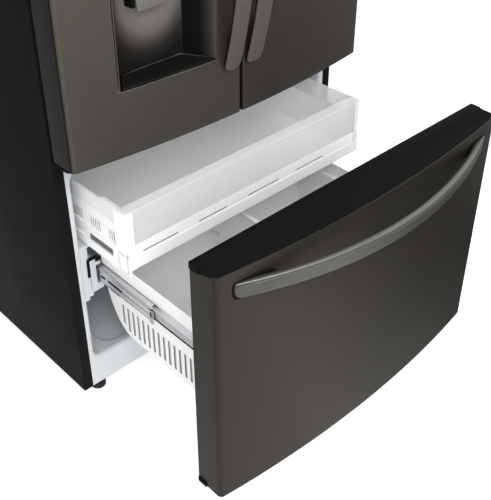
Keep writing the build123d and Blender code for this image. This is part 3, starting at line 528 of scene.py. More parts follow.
def drawer_handle_ring(x, s):
    f, z0, z1 = drawer_handle_line(x)
    z0 += round_cut(s, 15.0)
    z1 -= round_cut(s, 7.0)
    h = z1 - z0
    g = min(1.0, h / 36.0)
    d0 = round_cut(s, 7.0) * 0.42
    back = min(16.5, f + 1.0)
    front = bow(x) - f
    k = lambda d: d0 + d * max(0.15, (back - d0) / 16.5)
    pts = [(4.5, z0), (1.6, z0 + 0.8 * g), (0.5, z0 + 3.6 * g), (0.12, z0 + 0.3 * h), (0.10, z0 + 0.55 * h),
           (0.35, z1 - 6.2 * g), (1.2, z1 - 5.0 * g), (1.6, z1 - 4.2 * g), (0.6, z1 - 3.2 * g), (0.5, z1 - 1.8 * g),
           (1.2, z1 - 0.5 * g), (3.0, z1), (7.0, z1 + 0.35), (11.5, z1 + 0.1), (14.8, z1 - 0.9 * g), (16.3, z1 - 3.0 * g),
           (16.5, z1 - 8 * g), (16.5, z0 + 7 * g), (16.0, z0 + 2.4 * g), (14.0, z0 + 0.5 * g), (9.0, z0 - 0.0)]
    return [Vector((x, front + k(d) + DD, z)) for d, z in pts]


bm = bmesh.new()
steps = end_steps(15.0, 8)
xs = [(HM - HH + s, s) for s in steps]
n = 84
xs += [(HM - HH + 15 + (2 * HH - 30) * i / n, 99.0) for i in range(n + 1)]
xs += [(HM + HH - s, s) for s in reversed(steps)]
loft(bm, [drawer_handle_ring(x, s) for x, s in xs], mats=[0] * 6 + [1, 1] + [0] * 13)
finish_mesh("drawer_handle_bar", bm, ["handle_h", "handle_groove_painted_shade"], "drawer", ("drawer_handle",), smooth=50)

# dark seats under both ends of the bar, seen as a fine dark line round each end; partly a dark pad, partly painted
# shade of the gap round each end
bm = bmesh.new()
for side in (-1, 1):
    prof = [(-5.5, 0.45, 0.50), (-4.0, 0.2, 0.8), (-1.0, -0.02, 1.0), (4, -0.10, 1.04), (12, -0.13, 1.06), (25, -0.06, 1.09), (40, 0.1, 1.12), (58, 0.25, 1.13), (74, 0.35, 1.08), (90, 0.5, 0.9), (98, 0.6, 0.7)]
    rings = []
    for s, a, b in prof:
        x = HM + side * (HH - s)
        _, z0, z1 = drawer_handle_line(max(HM - HH, min(HM + HH, x)))
        za, zb = z0 + a * 36.0, z0 + b * 36.0
        y = bow(x) + DD
        rings.append([Vector((x, y - 1.4, za + 0.5)), Vector((x, y - 1.4, zb - 0.5)), Vector((x, y - 0.9, zb)), Vector((x, y + 0.6, zb)),
                      Vector((x, y + 0.6, za)), Vector((x, y - 0.9, za))])
    loft(bm, rings)
finish_mesh("drawer_handle_seats", bm, "seam_dark", "drawer", (), smooth=40)


# ============================================================ door handles
def door_handle(side, body, node):
    xc, hw = side * 33.8, 23.0
    zc, hz = 1245.0, 379.0
    steel, back = bmesh.new(), bmesh.new()
    st = end_steps(17.0, 8)
    zs = [(zc - hz + s, s) for s in st] + [(zc - hz + 17 + (2 * hz - 34) * i / 70, 99.0) for i in range(71)] + [(zc + hz - s, s) for s in reversed(st)]
    ra, rb = [], []
    for z, s in zs:
        t = (z - zc) / hz
        f = 8.0 + 57.0 * (1 - t * t)
        w = hw - round_cut(s, 17.0)
        front = bow(xc) - f + round_cut(s, 6.0) * 0.45
        q = w / hw
        sec = [(-1.0, 3.4), (-0.97, 1.9), (-0.90, 0.9), (-0.6, 0.25), (-0.2, 0.0), (0.2, 0.0), (0.6, 0.25), (0.90, 0.9), (0.97, 1.9), (1.0, 3.4),
               (1.0, 6.2), (0.96, 7.4), (0.88, 8.0), (-0.88, 8.0), (-0.96, 7.4), (-1.0, 6.2)]
        ra.append([Vector((xc + a * w, front + d, z)) for a, d in sec])
        if s > 5:
            d1 = min(13.5, f + 0.6)
            wb = w - 3.2
            rb.append([Vector((xc - wb, front + 7.6, z)), Vector((xc + wb, front + 7.6, z)), Vector((xc + wb, front + d1 - 1.2, z)),
                       Vector((xc + wb - 1.5, front + d1, z)), Vector((xc - wb + 1.5, front + d1, z)), Vector((xc - wb, front + d1 - 1.2, z))])
    loft(steel, ra)
    loft(back, rb)
    finish_mesh(f"{body}_handle_blade", steel, "handle_v", body, (node,), smooth=50)
    finish_mesh(f"{body}_handle_back", back, "black_plastic", body, (node,), smooth=40)


door_handle(-1, "left_door", "left_door_handle")
door_handle(1, "right_door", "right_door_handle")

# a black lip between the two doors: painted shade, a dark sheet standing for the shade deep in the gap
bm = bmesh.new()
box(bm, -2.4, 1.9, -107, -103, 748, 1743)
finish_mesh("door_gap_painted_shade", bm, "seam_dark", "left_door", (), bevel=0.5)
# dark facing on the inner edge of each door: a black strip that paints the shade seen deep in the gap between the
# doors
for side, body in ((-1, "left_door"), (1, "right_door")):
    bm = bmesh.new()
    edge = [(3.05, -101), (2.6, -101.6), (2.5, -104), (2.55, -114.5), (2.9, -117.4), (3.7, -119.4), (5.0, -120.9), (5.3, -120.4), (4.2, -118.9), (3.4, -117.0), (3.05, -114.5)]
    loft(bm, [[Vector((side * a, b, z)) for a, b in edge] for z in (747.5, 748.5, 1742.5, 1743.5)])
    finish_mesh(f"{body}_edge_painted_shade", bm, "seam_dark", body, (), smooth=30)

# dark trim round the seal at the back of each door, and the tall lip of the seal along its top
for side, body in ((-1, "left_door"), (1, "right_door")):
    bm = bmesh.new()
    plate(bm, [[(side * a, b) for a, b in rrect(4.6, 452.6, 748.2, 1742.8, 2, 3)], [(side * a, b) for a, b in rrect(6.2, 435.8, 762.2, 1728.8, 6, 4)]],
          lambda a, b, d: Vector((a, -14.1 + d, b)), 0.8)
    box(bm, side * 6.2, side * 440.0, -13.3, -0.9, 1728.6, 1742.6)
    box(bm, side * 4.6, side * 452.6, -20.0, -13.3, 1743.05, 1743.7)
    finish_mesh(f"{body}_rear_trim", bm, "gasket", body, (), merge=0.0)

# ============================================================ dispenser
AX0, AX1, AZ0, AZ1 = -328.0, -70.0, 902.0, 1290.0


def ring_on_door(x0, x1, z0, z1, y_off, nx=10, nz=10):
    """Rectangle that follows the bowed door face, y_off in front of it."""
    out = [(x0 + (x1 - x0) * i / nx, z0) for i in range(nx)] + [(x1, z0 + (z1 - z0) * i / nz) for i in range(nz)]
    out += [(x1 - (x1 - x0) * i / nx, z1) for i in range(nx)] + [(x0, z1 - (z1 - z0) * i / nz) for i in range(nz)]
    return [Vector((x, bow(x) - y_off, z)) for x, z in out]


bm = bmesh.new()
# bright edge strip round the alcove and the panel above it
vr = loft(bm, [ring_on_door(AX0 - 1.8, AX1 + 1.8, AZ0 - 1.8, 1425.8, -1.0), ring_on_door(AX0 - 1.8, AX1 + 1.8, AZ0 - 1.8, 1425.8, 0.5),
               ring_on_door(AX0 - 1.2, AX1 + 1.2, AZ0 - 1.2, 1425.2, 0.9), ring_on_door(AX0 - 0.2, AX1 + 0.2, AZ0 - 0.2, 1424.2, 0.9),
               ring_on_door(AX0 + 0.4, AX1 - 0.4, AZ0 + 0.4, 1423.6, 0.5), ring_on_door(AX0 + 0.6, AX1 - 0.6, AZ0 + 0.6, 1423.4, -1.2),
               ring_on_door(AX0 - 1.8, AX1 + 1.8, AZ0 - 1.8, 1425.8, -1.0)], caps=False)
finish_mesh("dispenser_bezel", bm, "trim_bright", "left_door", (), smooth=30)

# the alcove: side walls that draw in, rounded corners, curved back
plan = [(AX0 + 0.2, bow(AX0) + 0.8), (-324.5, -98.0), (-290.5, -50.5), (-287.0, -46.5), (-282.0, -43.8), (-275.0, -42.6)]
plan += [(-275.0 + 152.0 * i / 14, -42.6 + 2.2 * math.sin(math.pi * i / 14) - 1.6 * i / 14) for i in range(1, 15)]
plan += [(-116.5, -45.8), (-112.0, -49.0), (-109.0, -53.5), (-76.5, -117.0), (AX1 - 0.2, bow(AX1) + 0.8)]
seg_mat = [1, 1, 0, 0, 0] + [0] * 14 + [0, 0, 1, 1, 1]
bm = bmesh.new()
rows = []
for z in [AZ0 + 0.3, 930, 960, 1000, 1050, 1100, 1150, 1200, 1250, AZ1 - 0.3]:
    rows.append([bm.verts.new((x, y, z)) for x, y in plan])
for a, b in zip(rows, rows[1:]):
    for i in range(len(plan) - 1):
        f = bm.faces.new((a[i], a[i + 1], b[i + 1], b[i]))
        f.material_index = seg_mat[min(i, len(seg_mat) - 1)]
for r, m in ((rows[0], 2), (rows[-1], 1)):
    f = bm.faces.new(r)
    f.material_index = m
finish_mesh("dispenser_recess", bm, ["recess", "recess_side_painted_shade", "black_plastic"], "left_door", ("dispenser_housing",),
            smooth=30, solid=1.5, recalc=True)

# chute, nozzle and the ears of the paddle
bm = bmesh.new()
box(bm, -240, -168, -101, -84, 1226, 1289)
box(bm, -232, -176, -99, -86, 1218, 1228)
for x0, x1 in ((-256, -250.6), (-157.4, -152)):
    box(bm, x0, x1, -81, -58, 1189, 1289)
# dark upright beside the paddle: partly the dark chute there, partly painted shade at the paddle's left
box(bm, -259, -248.5, -70, -44, 1056, 1188)
finish_mesh("dispenser_chute", bm, "black_plastic", "left_door", ("dispenser_housing",), bevel=2.2, seg=3)
bm = bmesh.new()
for z0, z1, r in ((1262, 1289, 9.5), (1246, 1264, 7.5), (1238, 1247, 5.5)):
    rod(bm, (-204, -53.5, z0), (-204, -53.5, z1), r, 24)
finish_mesh("dispenser_nozzle", bm, "black_plastic", "left_door", ("dispenser_housing",), smooth=40)

# paddle: a shaped plate with a thick lower lip
bm = bmesh.new()
rings = []
for z, hw, yf, yb in ((1045.5, 37.5, -70.5, -67.0), (1047, 40.0, -71.9, -66.3), (1051, 41.4, -72.0, -66.0), (1060, 41.8, -72.0, -66.0), (1066, 41.8, -71.4, -66.0),
                      (1070, 41.6, -70.0, -66.0), (1120, 40.5, -69.6, -66.0), (1170, 39.5, -69.6, -66.0), (1196, 39.0, -70.0, -66.0)):
    n = 12
    top = [Vector((-204 - hw + 2 * hw * i / n, yf + (1.2 if i in (0, n) else 0.3 if i in (1, n - 1) else 0), z)) for i in range(n + 1)]
    bot = [Vector((-204 + hw - 2 * hw * i / n, yb, z)) for i in range(n + 1)]
    rings.append(top + bot)
loft(bm, rings)
rod(bm, (-249.8, -69, 1200), (-158.2, -69, 1200), 5.9, 24)
rod(bm, (-256, -69, 1200), (-152, -69, 1200), 3.0, 20)
for k in range(4):
    box(bm, -228 + 2, -180 - 2, -73.0, -71.2, 1076 + k * 9, 1079 + k * 9)
finish_mesh("dispenser_paddle", bm, "recess_light", "dispenser_lever", ("dispenser_lever",), bevel=0.6, seg=2)

# drip tray: dished, with a fine bright rim
bm = bmesh.new()
n = 16
def tray_loop(g, z):
    front = [(-321 + g + (244 - 2 * g) * i / n, None) for i in range(n + 1)]
    pts = [Vector((x, bow(x) + 2.4 + g, z)) for x, _ in front]
    back = [(-77 - g * 0.9 - 2, -108), (-114.5 - g * 0.6, -48.5 - g), (-119 - g * 0.4, -45.2 - g), (-150, -44.6 - g), (-200, -43.6 - g), (-250, -43.8 - g), (-279 + g * 0.4, -44.8 - g), (-283.5 + g * 0.6, -48 - g), (-317 + g * 0.9, -97)]
    return pts + [Vector((x, y, z)) for x, y in back]
loft(bm, [tray_loop(0.6, 902.4), tray_loop(0.0, 906.0), tray_loop(0.6, 907.0), tray_loop(1.8, 907.0), tray_loop(2.6, 906.0), tray_loop(4.5, 904.6)], mats=None, caps=True)
for f in bm.faces:
    c = f.calc_center_median()
    f.material_index = 1 if c.z > 906.2 and c.y > bow(c.x) + 7 else 0
finish_mesh("drip_tray_dish", bm, ["dish_dark", "trim_soft"], "left_door", ("drip_tray",), smooth=30)
bm = bmesh.new()
for k in range(17):
    x = -262 + k * 8.0
    box(bm, x - 2.0, x + 2.0, -100 + abs(k - 8) * 0.4, -60, 904.4, 905.6)
finish_mesh("drip_tray_slats", bm, "dish_dark", "left_door", ("drip_tray",), bevel=0.5)

# ============================================================ freezer tub
def tub_row(y, hw, z0, z1, r, recess=True):
    """Outline of the tub in the plane y: bottom left to right, then up and over."""
    pts = []
    fine = [-hw + r]
    x = -372.0
    while x < -312:
        fine.append(x)
        x += 3.0
    mid = [-300, -220, -140, -70, 0, 70, 140, 220, 300]
    row = fine + mid + [-v for v in reversed(fine)]
    for x in row:
        z = z0
        if recess:
            # distance to a rounded rectangle: the pressed recess of the floor
            ax, ay = abs(x) - (360 - 40), abs(y - 232) - (206 - 40)
            d = math.hypot(max(ax, 0), max(ay, 0)) + min(max(ax, ay), 0) - 40
            t = max(0.0, min(1.0, (2.5 - d) / 5.0))
            z = z0 - 7.0 * t * t * (3 - 2 * t)
        pts.append(Vector((x, y, z)))
    def arc(cx, cz, a0, a1, n=7):
        for i in range(1, n + 1):
            a = math.radians(a0 + (a1 - a0) * i / n)
            pts.append(Vector((cx + r * math.cos(a), y, cz + r * math.sin(a))))
    arc(hw - r, z0 + r, -90, 0)
    arc(hw - r, z1 - r, 0, 90)
    pts.append(Vector((-hw + r, y, z1)))
    arc(-hw + r, z1 - r, 90, 180)
    arc(-hw + r, z0 + r, 180, 269.9)
    return pts


rows = [tub_row(0.0, 419.0, 112.0, 699.0, 34, False), tub_row(0.8, 416.6, 115.0, 696.6, 32, False), tub_row(2.6, 413.8, 118.0, 693.8, 30, False),
        tub_row(6.0, 412.2, 119.7, 692.2, 28, False), tub_row(10.0, 412.0, 120.0, 692.0, 28, False)]
ys = [16, 19] + [22 + 3 * i for i in range(20)] + [95, 130, 170, 220, 270, 320, 360, 385] + [392 + 4 * i for i in range(11)]
rows += [tub_row(float(y), 412.0, 120.0, 692.0, 28) for y in ys]
for y, z in ((440, 121.5), (448, 126), (454, 138), (457.5, 160), (460.5, 210), (463.5, 268), (466, 288), (472, 295), (484, 298), (530, 307), (578, 317.5)):
    rows.append(tub_row(float(y), 412.0, z, 692.0, 28, False))
bm = bmesh.new()
vr = loft(bm, rows, caps=False)
bm.faces.new(vr[-1])
bmesh.ops.recalc_face_normals(bm, faces=bm.faces)
# the inside must face the space
probe = max(bm.faces, key=lambda f: f.calc_area())
c = probe.calc_center_median()
if probe.normal.dot(Vector((0, 290, 400)) - c) < 0:
    bmesh.ops.reverse_faces(bm, faces=bm.faces)
finish_mesh("freezer_tub", bm, "liner_white", "cabinet", ("freezer_liner",), smooth=40, solid=-2.4, recalc=False, merge=0.01)

bm = bmesh.new()
hole = [(p.x, p.z) for p in tub_row(0.0, 419.0, 112.0, 699.0, 34, False)]
plate(bm, [[(-426.8, 29.2), (426.8, 29.2), (426.8, 716), (-426.8, 716)], hole], lambda a, b, d: Vector((a, d, b)), 3.0)
for s in (-1, 1):
    # stepped boss along each side, with the ledge under the tray
    box(bm, s * 413.5, s * 392, 2.5, 515, 331, 478)
    box(bm, s * 413.5, s * 400, 2.5, 515, 312, 332)
    box(bm, s * 393, s * 380, 2.5, 515, 470, 478)
    # front bracket: hook over the rail, stem beside it, stepped foot below it
    box(bm, s * 391, s * 375.2, -1.2, 30, 347, 429)
    box(bm, s * 378, s * 361, -1.2, 30, 409.5, 419)
    box(bm, s * 392, s * 375.2, 0.5, 30, 331, 348)
    box(bm, s * 378, s * 357, 0.5, 30, 332, 351)
    box(bm, s * 402, s * 389, 1.0, 30, 322, 340)
finish_mesh("freezer_front_frame", bm, "liner_white", "cabinet", ("freezer_liner",), bevel=1.6, seg=3, merge=0.0)

# dark flat plates round each rail end beside the bracket: painted shade of the socket the rail runs into
bm = bmesh.new()
for s in (-1, 1):
    sock = [(399, 381), (398.5, 434), (394, 439), (372, 440), (358, 428), (358, 407), (374.2, 407), (374.2, 353), (381, 353), (384, 381)]
    sock = [(s * a, b) for a, b in sock]
    plate(bm, [sock], lambda a, b, d: Vector((a, 1.0 + d, b)), 1.4)
finish_mesh("rail_socket_shades", bm, "seam_dark", "cabinet", (), merge=0.0)

# ============================================================ telescopic rails
def rail_section(s):
    """Middle member: rolled channel with two long beads."""
    o = [(357, 357.2), (366.6, 357.2), (368.9, 358.0), (370, 360.2), (370, 367.2), (368.7, 368.6), (368.7, 373.2), (370, 374.6), (370, 384.8), (368.7, 386.2),
         (368.7, 391.0), (370, 392.4), (370, 399.8), (368.9, 402.0), (366.6, 402.8), (357, 402.8), (357, 401.0), (365.8, 401.0), (367.6, 399.8), (368.2, 398.4), (368.2, 393.2),
         (367.0, 391.6), (367.0, 385.6), (368.2, 384.0), (368.2, 375.4), (367.0, 373.8), (367.0, 368.0), (368.2, 366.4), (368.2, 361.4), (367.6, 360.0), (365.8, 359.0), (357, 359.0)]
    return [(s * a, b) for a, b in o]


bm = bmesh.new()
for s in (-1, 1):
    rings = [[Vector((a, y + MD, b)) for a, b in rail_section(s)] for y in (19.5, 20.5, 509)]
    loft(bm, rings)
    # roller housing at the rear
    box(bm, s * 388, s * 370.2, 420, 509, 363, 397, dy=MD)
    rod(bm, (s * 386.5, 470 + MD, 380), (s * 371, 470 + MD, 380), 12, 24)
    # end block at the front
    box(bm, s * 373, s * 368, 8.2, 19.6, 356, 403.4, dy=MD)
    box(bm, s * 373, s * 366.8, 8.2, 19.6, 397.5, 403.6, dy=MD)
    box(bm, s * 372.4, s * 367, 8.4, 14.0, 356.5, 372, dy=MD)
    for y in (38, 96, 300):
        rod(bm, (s * 370.9, y + MD, 379.7), (s * 369.2, y + MD, 379.7), 2.6, 14)
finish_mesh("rail_middle_members", bm, "bare_steel", "rails_mid", ("rails_mid",), bevel=0.5, seg=2, merge=0.0)
# dark plates on the rail members: painted shade of the windows through them
bm = bmesh.new()
for s in (-1, 1):
    for y0, y1, z0, z1 in ((128, 186, 376.2, 383.2), (196, 214, 376.2, 383.2)):
        plate(bm, [[(a, b) for a, b in rrect(y0, y1, z0, z1, 3.4)]], lambda a, b, d: Vector((s * (370.25 - d), a + MD, b)), 1.0)
    plate(bm, [rrect(140, 178, 357.6, 359.8, 1.0, 3)], lambda a, b, d: Vector((s * (370.0 - d), a + MD, b)), 1.0)
    plate(bm, [rrect(11, 16.5, 376, 392, 2.4, 4)], lambda a, b, d: Vector((s * (373.3 - d), a + MD, b)), 1.0)
finish_mesh("rail_window_shades", bm, "seam_dark", "rails_mid", (), merge=0.0)

bm = bmesh.new()
for s in (-1, 1):
    sec = [(366, 373), (366, 392), (364.8, 394), (356, 394), (355.4, 395), (355.4, 402.6), (354, 404), (348.4, 404), (347, 402.6), (347, 367.4), (348.4, 366), (364.0, 366), (364.0, 371.4)]
    loft(bm, [[Vector((s * a, y + DD, b)) for a, b in sec] for y in (-11.8, -10.5, 469, 470)])
    sec2 = [(366, 373), (366, 392), (364.8, 394), (357, 394), (357, 366), (364.0, 366), (364.0, 371.4)]
    loft(bm, [[Vector((s * a, y + DD, b)) for a, b in sec2] for y in (469.9, 492, 494)])
    box(bm, s * 366, s * 342, -14.0, -10.2, 341, 449, dy=DD)
    for zb in (352, 438):
        rod(bm, (s * 354, -10.4 + DD, zb), (s * 354, -6.5 + DD, zb), 4.2, 6)
finish_mesh("drawer_rail_members", bm, "bare_steel", "drawer", ("drawer_rail_arms",), bevel=0.5, seg=2, merge=0.0)
# dark strips between the drawer rail members: painted shade in the gap
bm = bmesh.new()
for s in (-1, 1):
    box(bm, s * 365.6, s * 362, -9, 490, 366.4, 372.6, dy=DD)
finish_mesh("drawer_rail_gap_painted_shade", bm, "seam_dark", "drawer", (), merge=0.0)

# ============================================================ freezer basket
PROF = [(-4, 404), (-4, 203.0), (340, 203.0), (358, 203.4), (374, 206.0), (388, 211.5), (400, 219.5), (411, 230.0), (421, 242.5), (430, 256.0), (438, 270.5), (445, 286.5),
        (451, 304.0), (456, 324.0), (459.5, 346.0), (461, 370.0), (461, 404)]
SLOTS = [392.5 - 20.0 * i for i in range(18)]
bm = bmesh.new()
for s in (-1, 1):
    holes = []
    for y in SLOTS:
        lo = 240.0 if y > 380 else 222.0
        holes.append(rrect(y - 4.2, y + 4.2, lo, 300.0, 4.0, 4))
    plate(bm, [PROF] + holes, lambda a, b, d: Vector((s * (345.0 - d), a + DD, b)), 3.2, 0, 1)
# curved sheet of floor and back, then the front wall
outer = PROF[1:]
def inset_line(line, t):
    out = []
    for i, (a, b) in enumerate(line):
        p = line[max(0, i - 1)]
        q = line[min(len(line) - 1, i + 1)]
        dx, dz = q[0] - p[0], q[1] - p[1]
        L = math.hypot(dx, dz)
        out.append((a - dz / L * t, b + dx / L * t))
    return out
inner = inset_line(outer, 3.0)
sheet = outer + inner[::-1]
loft(bm, [[Vector((x, a + DD, b)) for a, b in sheet] for x in (-342.5, -115, 115, 342.5)])
box(bm, -342.5, 342.5, -4, -1.0, 203.5, 404, dy=DD)
# rim: an outward step, a wall and a rolled lip
def rim_ring(dx, dyf, dyb, z):
    return [Vector((a, b + DD, z)) for a, b in rrect(-dx, dx, dyf, dyb, 9.0, 6)]
loft(bm, [rim_ring(343.5, -3.0, 458.0, 402.0), rim_ring(347, -4.0, 460.5, 403.0), rim_ring(354.0, -4, 461, 404.6), rim_ring(355.6, -4, 461, 407.5), rim_ring(355.8, -4, 461, 436),
          rim_ring(356.0, -4, 461, 441), rim_ring(355.6, -3.8, 460.8, 444.6), rim_ring(354.4, -2.8, 459.6, 446.0), rim_ring(353.2, -1.6, 458.6, 445.0), rim_ring(352.8, -1.2, 458.2, 441.0),
          rim_ring(352.6, -1.0, 458, 409), rim_ring(350, -0.6, 457, 407), rim_ring(343.5, -0.5, 456.0, 405.4), rim_ring(343.5, -3.0, 458.0, 402.0)], caps=False)
finish_mesh("freezer_basket_shell", bm, ["white_plastic", "slot_shade"], "drawer", ("freezer_basket",), bevel=0.7, seg=2, merge=0.0, angle=40)

bm = bmesh.new()
pl = rrect(2.5, 451.5, 300, 439, 10, 5)
plate(bm, [pl] + [rrect(40 + 62 * i, 78 + 62 * i, 322, 336, 6.5, 4) for i in range(7)], lambda a, b, d: Vector((-1.5 + d, a + DD, b)), 3.0)
for r in ((-6, 6, 0.3, 456.7, 438.2, 443.8), (-6, 6, -3.8, 460.8, 446.6, 449.4), (-6, 6, 0.2, 2.4, 438.5, 448.8), (-6, 6, 455.2, 456.9, 438.5, 448.8)):
    box(bm, *r, dy=DD)
finish_mesh("basket_divider_plate", bm, "white_plastic", "basket_divider", ("basket_divider",), bevel=0.6, seg=2, merge=0.0)

# the top cap of the drawer rises gently to its rear ledge
bm = bmesh.new()
loft(bm, [[Vector((x, y + DD, z)) for y, z in ((-39.5, 732.54), (-41.6, 732.54), (-60, 731.1), (-79, 729.64), (-79, 729.3), (-39.5, 729.3))] for x in (-452.6, 452.6)])
# its ends slant down over the sides toward the rear
for s in (-1, 1):
    loft(bm, [[Vector((s * x, y + DD, z)) for y, z in ((-40.9, 716.2), (-40.9, 730.4), (-74, 730.0), (-76, 729.4), (-76, 726.6), (-66, 724.4))] for x in (453.6, 454.7)])
finish_mesh("drawer_cap_ramp", bm, "cap_black", "drawer", (), merge=0.0, smooth=20)

# ============================================================ upper tray
bm = bmesh.new()
plate(bm, [rrect(-384.5, 384.5, 18, 453.5, 6, 4)], lambda a, b, d: Vector((a, b + TD, 500 + d)), 3.2)
box(bm, -384, 384, 450.5, 454.5, 501, 648, dy=TD)
slot_y = [c + k * 8.2 for c in (72, 144, 216, 288, 360) for k in (-2, -1, 0, 1, 2)]
for s in (-1, 1):
    # slotted lower side, plain upper side and its rim
    plate(bm, [[(17, 501), (453, 501), (453, 606), (17, 606)]] + [rrect(y - 1.3, y + 1.3, 549, 577, 1.2, 2) for y in slot_y],
          lambda a, b, d: Vector((s * (386.2 - d), a + TD, b)), 3.0, 0, 2)
    box(bm, s * 383.0, s * 382.2, 20, 450, 502, 604, dy=TD)
    # outer side rail, cut away behind the finger slit
    box(bm, s * 391, s * 384, 60, 452, 481, 505.8, dy=TD)
    low = 481 if s < 0 else 497
    box(bm, s * 391, s * 384, 16, 61, low, 505.8, dy=TD)
    box(bm, s * 391, s * 384, 16, 76, 505.4, 546, dy=TD)
    box(bm, s * 391, s * 384, 75.5, 172, 527.2, 546, dy=TD)
    box(bm, s * 389, s * 384, 171.5, 452, 530, 546, dy=TD)
    # clip at the lower front corner
    box(bm, s * 392.7, s * 388, 19, 50, max(low, 487.5), 536.5, dy=TD)
    # rounded corner post
    post = [(392, 58), (392, 28)] + [(380 + 12 * math.cos(math.radians(a)), 27 - 12 * math.sin(math.radians(a))) for a in range(8, 90, 9)] + [(379, 15), (371, 15), (371, 18.5), (380, 19)]
    post += [(381 + 7.5 * math.cos(math.radians(a)), 26.5 - 7.5 * math.sin(math.radians(a))) for a in range(80, 0, -16)] + [(388.6, 28), (388.6, 58)]
    # the right post gets a darker copy of the white: painted shade, as the light falls from the left
    loft(bm, [[Vector((s * a, b + TD, z)) for a, b in post] for z in (496, 497.5, 649, 651.5)], mat=0 if s < 0 else 3)
# front band with its long slits, and the lower band a little proud of it
plate(bm, [[(-391, 529), (391, 529), (391, 561), (-391, 561)]] + [rrect(a, b, 534.2, 538.0, 1.7, 3) for a, b in ((-350, -248), (-183, -95), (-22, 83), (147, 250))],
      lambda a, b, d: Vector((a, 15.8 + TD + d, b)), 3.2, 0, 2)
box(bm, -390.5, 390.5, 18.8, 21.8, 497, 560, dy=TD)
loft(bm, [[Vector((x, y + TD, z)) for y, z in ((14.3, 499), (14.3, 527.5), (15.2, 530.2), (18, 530.6), (18, 496), (16, 496))] for x in (-391.4, 391.4)])
finish_mesh("tray_tub", bm, ["tray_white", "white_plastic", "slot_shade", "post_white_painted_shade"], "tray", ("tray_body",), bevel=0.8, seg=2, merge=0.0, angle=40)

bm = bmesh.new()
for s in (-1, 1):
    loft(bm, [[Vector((s * x, y + TD, z)) for x, z in ((386.0, 603), (387.8, 606), (388.0, 643), (389.6, 645.5), (390.4, 649), (389.4, 650.6), (385.6, 650.6), (384.4, 648.6), (384.4, 608), (383.2, 605), (383.2, 603))]
              for y in (30, 32, 240, 451, 454)])
finish_mesh("tray_upper_sides", bm, "frost_plastic", "tray", ("tray_body",), bevel=0.6, seg=2, merge=0.0, angle=40)

bm = bmesh.new()
for s in (-1, 1):
    box(bm, s * 387.2, s * 386.4, 76, 171.8, 505.9, 527.1, dy=TD)
    low = 487.0 if s < 0 else 497.5
    plate(bm, [rrect(18.6, 50.4, low, 537.0, 1.0, 2), rrect(19.7, 49.3, low + 1.1, 535.9, 1.0, 2)], lambda a, b, d: Vector((s * (392.9 - d), a + TD, b)), 1.0, 1)
finish_mesh("tray_slit_backs", bm, ["slit_shade", "ring_shade"], "tray", (), merge=0.0)

bm = bmesh.new()
# clear front pane with its broad hollow top rim
plate(bm, [rrect(-370.8, 370.8, 560.5, 652, 2, 2)], lambda a, b, d: Vector((a, 16.2 + TD + d, b)), 2.8)
rim = [(13.4, 654.4), (13.2, 657.0), (14.4, 658.0), (40.0, 658.0), (41.2, 657.0), (41.2, 646.5), (38.8, 646.5), (38.8, 654.6), (37.8, 655.4), (16.4, 655.4), (15.6, 654.4), (15.6, 651.5), (13.6, 651.5)]
loft(bm, [[Vector((x, y + TD, z)) for y, z in rim] for x in (-383, -382, 382, 383)])
for s in (-1, 1):
    side = [(393.3, 653.2), (393.3, 657.0), (392.3, 658.0), (383.0, 658.0), (382.2, 657.0), (382.2, 651.8), (384.4, 651.8), (384.6, 655.2), (391.0, 655.2), (391.6, 653.2)]
    loft(bm, [[Vector((s * x, y + TD, z)) for x, z in side] for y in (13.3, 14.5, 102, 103)])
    for x in (366, 352):
        box(bm, s * x, s * (x - 1.6), 19, 20.6, 562, 650, dy=TD)
finish_mesh("tray_window", bm, "clear_plastic", "tray", ("tray_front",), bevel=0.7, seg=2, merge=0.0)


# ============================================================ carried-over CAD nodes
def smooth_group():
    """Shades faces smooth and keeps edges over 30 degrees crisp; the mesh itself is untouched."""
    g = bpy.data.node_groups.new("smooth_by_angle", "GeometryNodeTree")
    g.interface.new_socket("Geometry", in_out="INPUT", socket_type="NodeSocketGeometry")
    g.interface.new_socket("Geometry", in_out="OUTPUT", socket_type="NodeSocketGeometry")
    gi, go = g.nodes.new("NodeGroupInput"), g.nodes.new("NodeGroupOutput")
    mrg = g.nodes.new("GeometryNodeMergeByDistance")
    mrg.inputs["Distance"].default_value = 0.000004
    sf = g.nodes.new("GeometryNodeSetShadeSmooth")
    sf.domain = "FACE"
    sf.inputs["Shade Smooth"].default_value = True
    se = g.nodes.new("GeometryNodeSetShadeSmooth")
    se.domain = "EDGE"
    se.inputs["Shade Smooth"].default_value = False
    ang = g.nodes.new("GeometryNodeInputMeshEdgeAngle")
    cmp_ = g.nodes.new("FunctionNodeCompare")
    cmp_.data_type, cmp_.operation = "FLOAT", "GREATER_THAN"
    cmp_.inputs[1].default_value = math.radians(30)
    L = g.links.new
    L(gi.outputs[0], mrg.inputs["Geometry"])
    L(mrg.outputs["Geometry"], sf.inputs["Geometry"])
    L(ang.outputs["Unsigned Angle"], cmp_.inputs[0])
    L(sf.outputs["Geometry"], se.inputs["Geometry"])
    L(cmp_.outputs[0], se.inputs["Selection"])
    L(se.outputs["Geometry"], go.inputs[0])
    return g


# edges of the carried-over nodes that get a small real rounding, in millimetres
EASED = {"cabinet_wrap": 0.5, "centre_crossbar": 0.8, "hinge_covers": 2.0, "top_hinges": 0.5, "centre_hinges": 0.6, "drawer_caps": 0.4, "left_door_caps": 0.6,
         "right_door_caps": 0.6, "ice_maker_box": 3.0, "left_door_bins": 1.0, "right_door_bins": 1.0, "crisper_drawers": 1.0, "shelf_frames": 1.0,
         "dispenser_panel": 0.4, "fridge_liner": 1.6, "left_door_liner": 1.4, "right_door_liner": 1.4, "drawer_liner": 1.4, "evaporator_cover": 1.0,
         "machine_room_cover": 0.5, "base_frame": 0.4, "mullion_flipper": 0.8, "rails_fixed": 0.4, "left_door_gasket": 1.2, "right_door_gasket": 1.2,
         "drawer_gasket": 1.2, "shelf_glass": 0.6, "foot_left": 0.6, "foot_right": 0.6, "water_valve": 0.5}
SMOOTH = smooth_group()
